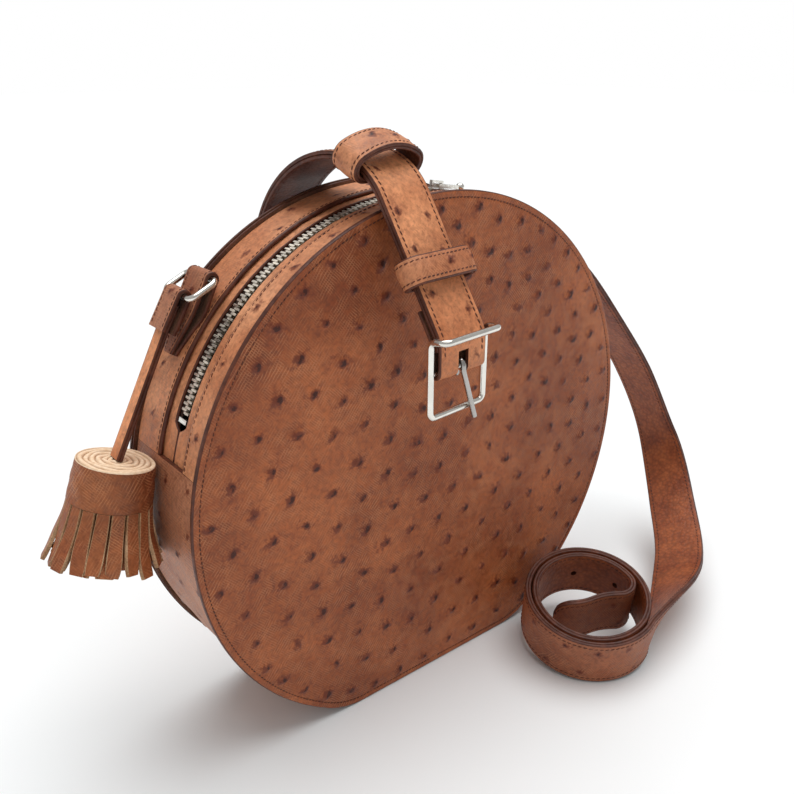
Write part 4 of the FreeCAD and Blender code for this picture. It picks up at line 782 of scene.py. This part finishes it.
flat_half = strap_half - 0.4
strap_columns = np.concatenate([np.linspace(-flat_half, -2.5, 8), np.linspace(-1.25, 1.25, 3),
                                np.linspace(2.5, flat_half, 8)])
strap_columns = [float(u + flat_half) / (2 * flat_half) for u in strap_columns]
slot_columns, slot_reach, slot_front = (7, 11), 7.0, -40
strap_section = strip_section(strap_columns, strap_leather, 0.4)
middle, across, out = strap_stations(True, 0.0, 1.2)
slot_spots = np.nonzero((middle[:, 2] < bar_height + slot_reach) & (middle[:, 1] < slot_front))[0]
slot_start, slot_end = int(slot_spots[0]), int(slot_spots[-1])
work = lay_band(middle, across, out, -strap_half, strap_half, strap_section,
                relief=quilled(53, 330.0, -strap_half, strap_half, 12.5, 0.15),
                windows=[(slot_start, slot_end, *slot_columns, 0.0)])
shown = slice(0, slot_start + 3)
sew_edges(work, middle[shown], across[shown], out[shown], strap_seam, strap_stitch)
make_piece("buckle_strap_leather", work, [strap_ostrich, edge_paint, flesh_side, thread], "buckle_strap")

middle, across, out = strap_stations(False, strap_leather + layer_gap, 1.6)
work = lay_band(middle, across, out, -strap_half, strap_half, strap_section)
sew_edges(work, middle - out * strap_leather, across, -out, strap_seam, lining_stitch)
make_piece("buckle_strap_inside", work, [flesh_side, edge_paint, strap_lining, thread],
           "buckle_strap_lining", slot="smooth_leather")

# Keepers: two closed loops of doubled leather round the strap, stitched along both edges. The upper one
# sits crowned on the front of the arch, the lower one lies flat on the straight run.
keeper_leather = 2.2
keeper_room = 13.5
keeper_clear = 0.3
keeper_crown = 0.35
keeper_seam, thread_lift = 1.6, 0.12
keeper_ostrich = ostrich_finish("ostrich_keeper", (208, 140, 100), (168, 100, 64), 0.55)
front_centre = strap_origin + strap_ahead * arch_forward + upward * (strap_top - arch_front)


def turned_down(angle):
    """Forward-down direction of the strap at an angle from the level, and its outward normal."""
    down = radians(angle)
    return strap_ahead * cos(down) - upward * sin(down), strap_ahead * sin(down) + upward * cos(down)


def keeper(label, body, place, along, lifted, pieces, low, width, spots):
    """A closed loop round the strap, with a few quills at spots across and along its outer face."""
    lengths = [piece[0] * (radians(piece[1]) if len(piece) > 1 else 1) for piece in pieces]
    front = lengths[0] + lengths[1]
    quills = [(front + share * lengths[2], wide, strip_quill, 0.5, 0.95) for share, wide in spots]
    points, left = walk((-pieces[0][0] / 2, low), 0, pieces, 1.1)
    middle = place + in_plane((points - left * keeper_leather)[:-1], strap_right, lifted)
    out = -in_plane(left[:-1], strap_right, lifted)
    uneven = strip_relief(quills, 0.25, width, 5.0)

    def crowned(far, wide):
        lift, mark = uneven(far, wide)
        return lift + keeper_crown * (1 - (2 * wide / width) ** 2), mark
    work = lay_band(middle, along, out, -width / 2, width / 2,
                    strip_section(even(10), keeper_leather, 0.5, layered=True), closed=True, relief=crowned)
    sew_edges(work, middle + out * thread_lift, along, out, width / 2 - keeper_seam, narrow_stitch)
    make_piece(label + "_leather", work, [keeper_ostrich, edge_paint, strap_lining, thread], label, body=body)


upper_angle, upper_width, upper_corner = 22.0, 12.0, 3.2
along, lifted = turned_down(upper_angle)
flat = keeper_room - upper_corner
dip = (upper_width / 2) ** 2 / (2 * (arch_front - strap_layers))
keeper("upper_keeper", "upper_loop", front_centre + lifted * arch_front, along, lifted,
       [(2 * flat,), (upper_corner, 150), (2 * flat + upper_corner, 60), (upper_corner, 150)],
       -(strap_layers + dip + keeper_clear), upper_width, [(0.2, -1.2), (0.62, 1.0), (0.95, -1.6)])
lower_place, lower_width, lower_corner = 26.5, 9.4, 2.8
along, lifted = turned_down(fall)
flat = keeper_room - lower_corner
keeper("lower_keeper", "lower_loop", front_centre + lifted * arch_front + along * lower_place, along, lifted,
       [(2 * flat,), (lower_corner, 180), (2 * flat,), (lower_corner, 180)],
       -(strap_layers + keeper_clear), lower_width, [(0.18, -0.8), (0.72, -0.4)])

# Buckle and prong: a bent frame of round nickel wire hanging in the strap's fold, its side rails bent
# forwards at the top, and a darker wire prong whose eye turns on the middle bar. Both keep their CAD shapes.
plate(bright_nickel, "buckle_frame")
plate(nickel_finish("prong_nickel", (176, 172, 168), 0.2), "buckle_prong")

# Ring tabs: one strip of leather on each side, folded round the ring's inner bar, its two layers sewn to
# the gusset by a narrower tip. The rings are bent nickel wire and keep their CAD shapes.
plate(bright_nickel, "left_ring", "right_ring")
ring_wire, ring_clear = 1.1, 0.15
ring_hold = ring_wire + ring_clear
tab_leather = 1.3
tab_fold = ring_hold + tab_leather / 2
tab_seam = 1.5
tab_stitch = (1.9, 1.4, 0.42)
fold_reach = gusset_radius + 5.9
lift_angle, ring_angle, tip_angle, tab_bend = 50.5, 43.5, 58.5, 20.0


def tab_route():
    """The tab's middle line: up from its tip, round the bar and back over itself."""
    lean = radians(lift_angle - ring_angle)
    bar = (fold_reach * sin(lean), fold_reach * cos(lean) - gusset_radius)
    sewn = tip_angle - lift_angle
    layer = gusset_radius + layer_gap + tab_leather / 2
    drop = bar[1] - (layer - gusset_radius) - tab_bend
    turn = acos((tab_fold - tab_bend) / hypot(drop, bar[0])) - atan2(bar[0], drop)
    rise = degrees(turn)
    bend = (tab_bend * sin(turn), layer - gusset_radius + tab_bend * (1 - cos(turn)))
    run = cos(turn) * (bar[0] - bend[0]) + sin(turn) * (bar[1] - bend[1])
    upper = layer + tab_leather + layer_gap
    dip = degrees(acos((upper - tab_fold) / fold_reach)) - (lift_angle - ring_angle)
    whole = sqrt(fold_reach ** 2 - (upper - tab_fold) ** 2)
    back = whole - upper * tan(radians(max(dip - sewn, 0)))
    start = (-layer * sin(radians(sewn)), layer * cos(radians(sewn)) - gusset_radius)
    return start, sewn, [(layer, -sewn), (tab_bend, rise), (run,), (tab_fold, 180 + dip - rise), (back,)]


start, heading, pieces = tab_route()
points, left = walk(start, heading, pieces, 0.8)
points = points - left * (tab_leather / 2)
lift = radians(lift_angle)
for label, side, width, tip_width, y in (("left_ring_tab", -1, 14.0, 5.0, 13.0),
                                         ("right_ring_tab", 1, 20.0, 10.0, 11.5)):
    up = np.array([-side * cos(lift), 0.0, sin(lift)])
    away = np.array([side * sin(lift), 0.0, cos(lift)])
    middle = np.array([0.0, y, centre_height]) + away * gusset_radius + in_plane(points, up, away)
    out = -in_plane(left, up, away)
    wide = np.interp(points[:, 0], [start[0] - tab_leather, 0.0], [tip_width / 2, width / 2])
    work = lay_band(middle, backward, out, -wide, wide, strip_section(even(12), tab_leather, 0.4),
                    relief=quilled(61 + side, 60.0, -width / 2, width / 2, 9.0))
    sew_edges(work, middle, backward, out, wide - tab_seam, tab_stitch)
    make_piece(label + "_leather", work, gusset_finishes, label)

# Tassel: a leather loop on the left ring and a doubled thong down to a strip of leather rolled up tight,
# whose raw cream edge shows as a spiral on top. Its lower part is cut into two layers of strips.
hang_bar = np.array([-84.944, 13.0, 168.549])
thong_lean = radians(30.3)
hang_down = np.array([-sin(thong_lean), 0.0, -cos(thong_lean)])
hang_out = np.array([-cos(thong_lean), 0.0, sin(thong_lean)])
raw_edge, shader, place = new_finish("raw_cream_edge", 0.85)
turns = step("Attribute", {}, shader.id_data, attribute_name="quill").outputs["Fac"]
fibres = clouds(place, 1.4, 4.0)
cream = dye(fade(fibres, 0.3, 0.7), tone(226, 192, 156), tone(246, 222, 194))
feed(shader, "Base Color", dye(count("MULTIPLY", turns, 0.8), cream, tone(150, 106, 70)))
raise_grain(shader, fibres, 0.3, 0.0003)
tassel_ostrich = ostrich_finish("ostrich_tassel", (152, 86, 48), (96, 44, 20), 0.6)
loop_leather, loop_half, loop_length, loop_seam = 1.4, 5.5, 13.0, 1.4
loop_fold = ring_hold + loop_leather / 2
points, left = walk((loop_length, loop_fold), 180, [(loop_length,), (loop_fold, 180), (loop_length,)], 0.9)
middle = hang_bar + in_plane(points - left * (loop_leather / 2), hang_down, -hang_out)
out = -in_plane(left, hang_down, -hang_out)
work = lay_band(middle, backward, out, -loop_half, loop_half, strip_section(even(8), loop_leather, 0.45),
                relief=quilled(71, 30.0, -loop_half, loop_half, 7.0))
sew_edges(work, middle, backward, out, loop_half - loop_seam, tab_stitch)
make_piece("tassel_loop_leather", work, gusset_finishes, "tassel_loop", body="tassel")

thong_thick, thong_half, thong_length, thong_swerve = 2.2, 3.0, 57.9, 5.0
thong_top = ring_hold + thong_thick
down = thong_top + np.linspace(0.0, 1.0, 60) * (thong_length - 0.4 - thong_top)
swerve = -thong_swerve * np.clip((down - loop_length) / (thong_length - loop_length), 0, 1)
middle = hang_bar + np.outer(down, hang_down) + np.outer(swerve, backward) + hang_out * (thong_thick / 2)
work = lay_band(middle, backward, hang_out, -thong_half, thong_half,
                strip_section(even(6), thong_thick, 0.45, layered=True))
make_piece("tassel_thong_leather", work, [strap_ostrich, edge_paint, strap_ostrich], "tassel_thong",
           body="tassel", slot="smooth_leather")

roll_place = np.array([-114.156, 8.0, 118.558])
roll_turn = np.array(Matrix.Rotation(radians(15.0), 3, "Y"))
roll_radius, roll_flare, roll_height, roll_middle = 12.8, 1.0, 14.0, 1.0
layer_step, groove_share = 1.9, 0.15
around = 72
turn = np.arange(around) * 2 * pi / around
rings, grooves = [], []
for radius in np.linspace(roll_middle, roll_radius - 0.5, 34):
    phase = (radius / layer_step - turn / (2 * pi)) % 1.0
    grooves.append(np.exp(-(np.minimum(phase, 1 - phase) / groove_share) ** 2))
    rings.append((radius, 0.1 - 0.6 * grooves[-1] + 0.25 * np.sin(turn * 3 + radius), on_edge))
rings += [(roll_radius - 0.15, -0.15, on_edge), (roll_radius, -0.5, on_edge)]
for level in np.linspace(-1.2, -roll_height, 17):
    rough = np.array([ripple(cos(a) * 9, sin(a) * 9, level * 0.8, 2.6) for a in turn])
    seam = np.array([ripple(cos(a) * 13, sin(a) * 13, level * 0.3, 5.0) for a in turn])
    radius = roll_radius - roll_flare * level / roll_height + 0.32 * rough + 0.3 * seam
    rings.append((radius, level, on_face))
rings.append((roll_middle, -roll_height, on_back))
spots = [np.broadcast_arrays(radius * np.cos(turn), radius * np.sin(turn), level)
         for radius, level, kind in rings]
spots = np.concatenate([np.stack(ring, axis=1) for ring in spots])
grooves = np.concatenate(grooves)
work = new_work()
add_points(work, roll_place + spots @ roll_turn.T, np.pad(grooves, (0, len(spots) - len(grooves))))
for i, (radius, level, kind) in enumerate(rings[1:]):
    bridge(work, i * around, (i + 1) * around, around, kind)
add_face(work, range(around), on_edge)
add_face(work, range(len(spots) - around, len(spots)), on_back)
make_piece("tassel_roll_leather", work, [tassel_ostrich, raw_edge, flesh_side], "tassel_roll", body="tassel")

fringe_length, strip_leather, strip_gap = 21.0, 1.4, 0.7
draw = random.Random(83)
work = new_work()
share = np.linspace(0.0, 1.0, 16)
for top_radius, low_radius, number in ((13.8, 19.5, 18), (11.0, 16.7, 13)):
    for strip in range(number):
        turn = 2 * pi * strip / number
        length = fringe_length + draw.uniform(-2.6, 0.6)
        flick = draw.uniform(-2.4, 1.0)
        sway = draw.uniform(-0.9, 0.9)
        tilt = draw.uniform(-0.45, 0.45) * share ** 2
        outwards = np.array([cos(turn), sin(turn), 0.0])
        aside = np.array([-sin(turn), cos(turn), 0.0])
        spread = 0.4 * share + 0.6 * share ** 2
        radius = top_radius + (low_radius - top_radius) * spread + flick * share ** 3
        radius = radius + 0.4 * share * np.sin(share * 7 + strip * 2.1)
        level = -roll_height - 0.1 - share * length
        middle = np.outer(radius, outwards) + np.outer(level, upward) + np.outer(sway * share ** 2, aside)
        out = unit(outwards - np.gradient(radius, level)[:, None] * upward)
        across = np.outer(np.cos(tilt), aside) + np.sin(tilt)[:, None] * out
        out = np.cos(tilt)[:, None] * out - np.outer(np.sin(tilt), aside)
        wide = (2 * pi * np.minimum(radius, low_radius) / number - strip_gap) / 2 * (1 - 0.25 * share ** 8)
        lay_band(roll_place + middle @ roll_turn.T, across @ roll_turn.T, out @ roll_turn.T, -wide, wide,
                 strip_section(even(5), strip_leather, 0.25), work=work)
cut_edge = smooth_finish("cut_strip_edge", (206, 168, 130), (160, 116, 80), 0.7, 0.85)
make_piece("tassel_fringe_leather", work, [tassel_ostrich, cut_edge, flesh_side], "tassel_fringe",
           body="tassel")

# Long strap: one doubled strip of leather, ostrich outside and grained leather inside, sewn along both
# edges. Its end is sewn back round the right ring; it hangs in a bow, turns over and is coiled on the floor.
long_thick, long_seam = 2.4, 2.0
long_stitch = (2.2, 1.7, 0.45)
ring_bar = np.array([85.251, 11.5, 169.238])
leave = radians(39.0)
way = np.array([cos(leave), 0.0, -sin(leave)])
normal = np.array([sin(leave), 0.0, cos(leave)])
wrap = ring_hold + long_thick / 2
fold_run, tail_run = 28.0, 26.0
close_in = degrees(asin((2 * wrap - long_thick - layer_gap) / tail_run))
points, left = walk((fold_run, wrap), 180, [(fold_run,), (wrap, 180 + close_in), (tail_run,)], 1.1)
fold_middle = (ring_bar + in_plane(points, way, normal))[::-1]
fold_out = -in_plane(left, way, normal)[::-1]
fold_across = np.tile(backward, (len(points), 1))

coil_yaw, coil_tilt = radians(39.1), radians(13.5)
coil_across = np.array([cos(coil_yaw), -sin(coil_yaw), 0.0])
coil_axis = upward * cos(coil_tilt) + np.array([coil_across[1], -coil_across[0], 0.0]) * sin(coil_tilt)
coil_far = np.cross(coil_axis, coil_across)
coil_centre = np.array([58.7, -58.5, 17.822])
coil_radius, coil_inner, join = 27.0, 22.2, -33.0
coil_start = (coil_radius * cos(radians(join)), coil_radius * sin(radians(join)))
coil_turns = [(coil_radius, -180), (25.4, -180), (23.8, -180)]
coil_end = [(coil_inner, -122), (7.0, -115), (28.0, 26), (22.0, -38), (2.0,)]


def coil_walk(pieces):
    return walk(coil_start, join - 90, coil_turns + pieces, 1.2)


points, left = coil_walk(coil_end)
coil_middle = coil_centre + in_plane(points, coil_across, coil_far)
coil_out = in_plane(left, coil_across, coil_far)
coil_wide = np.tile(-coil_axis, (len(points), 1))
coil_way = -np.cross(coil_out[0], coil_wide[0])

stations = [ring_bar + way * (fold_run + 0.1) + normal * wrap, (140.4, 8.0, 118.2), (162.5, 3.1, 87.9),
            (174.2, -8.1, 51.8), (157.5, -31.6, 28.0), (121.5, -61.5, 17.8), coil_middle[0] - coil_way * 0.1]
stations = [np.array(station, float) for station in stations]
turns = [0.0, -7.0, -6.0, 0.0, -4.0, -14.0, degrees(atan2(-coil_axis[2], -coil_axis[1]))]
slopes = [way] + [unit(b - a) for a, b in zip(stations, stations[2:])] + [coil_way]
hang = []
for i in range(len(stations) - 1):
    begin, end = stations[i:i + 2]
    leaving, meeting = slopes[i:i + 2]
    span = np.linalg.norm(end - begin)
    parts = round(span / 1.25)
    last = i == len(stations) - 2
    for f in np.arange(parts) / parts:
        spot = (begin * (2 * f ** 3 - 3 * f ** 2 + 1) + leaving * (f ** 3 - 2 * f ** 2 + f) * span
                + end * (3 * f ** 2 - 2 * f ** 3) + meeting * (f ** 3 - f ** 2) * span)
        ahead = unit((begin - end) * (6 * f ** 2 - 6 * f) / span + leaving * (3 * f ** 2 - 4 * f + 1)
                     + meeting * (3 * f ** 2 - 2 * f))
        turn = radians(turns[i] + (turns[i + 1] - turns[i]) * f)
        edge = np.array([-coil_axis[0] * f if last else 0.0, cos(turn), sin(turn)])
        edge = unit(edge - ahead * edge.dot(ahead))
        hang.append((spot, edge, np.cross(ahead, edge)))
hang_middle, hang_wide, hang_face = zip(*hang)
middle = np.concatenate([fold_middle[:-1], hang_middle, coil_middle])
across = np.concatenate([fold_across[:-1], hang_wide, coil_wide])
out = np.concatenate([fold_out[:-1], hang_face, coil_out])
far = distances(middle)
strap_length = far[-1]
to_end = np.minimum(far, strap_length - far)
tip = 8.0
wide = strap_half - tip + np.sqrt(tip ** 2 - (tip - np.clip(to_end, 0, tip)) ** 2)
hole_radius, hole_columns = 1.4, (8, 10)
holes = []
for hole_turn in (52.0, 105.0):
    spot = coil_centre + in_plane(coil_walk([(coil_inner, -hole_turn)])[0][-1:], coil_across, coil_far)
    nearest = int(np.argmin(np.linalg.norm(middle - spot, axis=1)))
    holes.append((nearest - 1, nearest + 1, *hole_columns, hole_radius))
grained_lining = smooth_finish("grained_lining", (160, 86, 46), (132, 64, 32), 1.7, 0.5)
long_ostrich = ostrich_finish("ostrich_long_strap", (160, 96, 64), (120, 64, 40), 0.4)
face_shift = out * (long_thick / 2)
work = lay_band(middle + face_shift, across, out, -wide, wide,
                strip_section(even(18), long_thick, 0.45, layered=True),
                relief=quilled(97, strap_length, -strap_half, strap_half, 12.0, 0.12), windows=holes)
sew_edges(work, middle + face_shift, across, out, wide - long_seam, long_stitch)
sew_edges(work, middle - face_shift, across, -out, wide - long_seam, long_stitch)
make_piece("shoulder_strap_leather", work, [long_ostrich, edge_paint, grained_lining, thread],
           "shoulder_strap_end", "shoulder_strap", "shoulder_strap_coil")

# Stage: a pale seamless floor, even white surroundings, one broad soft light from overhead,
# and the camera where the photograph was taken from.
floor_mesh = bpy.data.meshes.new("studio_floor")
floor_mesh.from_pydata([(-6, -6, 0), (6, -6, 0), (6, 6, 0), (-6, 6, 0)], [], [(0, 1, 2, 3)])
floor = show("studio_floor", floor_mesh)
floor_paint, shader, place = new_finish("studio_floor", 0.75)
floor_shades = (0.84, 0.86, 0.865, 1.0), (0.88, 0.9, 0.905, 1.0)
feed(shader, "Base Color", dye(clouds(place, 400.0), *floor_shades))
floor_mesh.materials.append(floor_paint)

world = bpy.data.worlds.new("studio")
scene.world = world
world.use_nodes = True
rays = step("LightPath", {}, world.node_tree)
seen = count("MAXIMUM", rays.outputs["Is Camera Ray"], rays.outputs["Is Transmission Ray"])
background = world.node_tree.nodes["Background"]
background.inputs["Color"].default_value = (1.0, 1.0, 1.0, 1.0)
feed(background, "Strength", fade(seen, 0.0, 1.0, 0.44, 1.0))

lamp_data = bpy.data.lights.new("soft_lamp", "SUN")
lamp_data.angle = radians(60)
lamp_data.energy = 2.5
lamp = show("soft_lamp", lamp_data)
lamp.location = (0.2, 0.3, 1.2)
lamp.rotation_euler = Vector((-0.14, -0.08, -1.0)).to_track_quat("-Z", "Y").to_euler()

focal_pixels, picture_pixels = 849, 794
camera_distance = 0.341
camera_data = bpy.data.cameras.new("photo_camera")
camera_data.sensor_width = 36.0
camera_data.lens = 36.0 * focal_pixels / picture_pixels
camera_data.clip_start = 0.01
camera = show("photo_camera", camera_data)
azimuth, elevation, roll = radians(-39.07), radians(21.85), radians(0.15)
target = Vector((-0.0015, 0.0, 0.115))
level_share = cos(elevation)
towards = Vector((sin(azimuth) * level_share, -cos(azimuth) * level_share, sin(elevation)))
camera.location = target + towards * camera_distance
camera_turn = towards.to_track_quat("Z", "Y").to_matrix()
camera.rotation_euler = (camera_turn @ Matrix.Rotation(roll, 3, "Z")).to_euler()
scene.camera = camera
scene.view_settings.view_transform = "Standard"
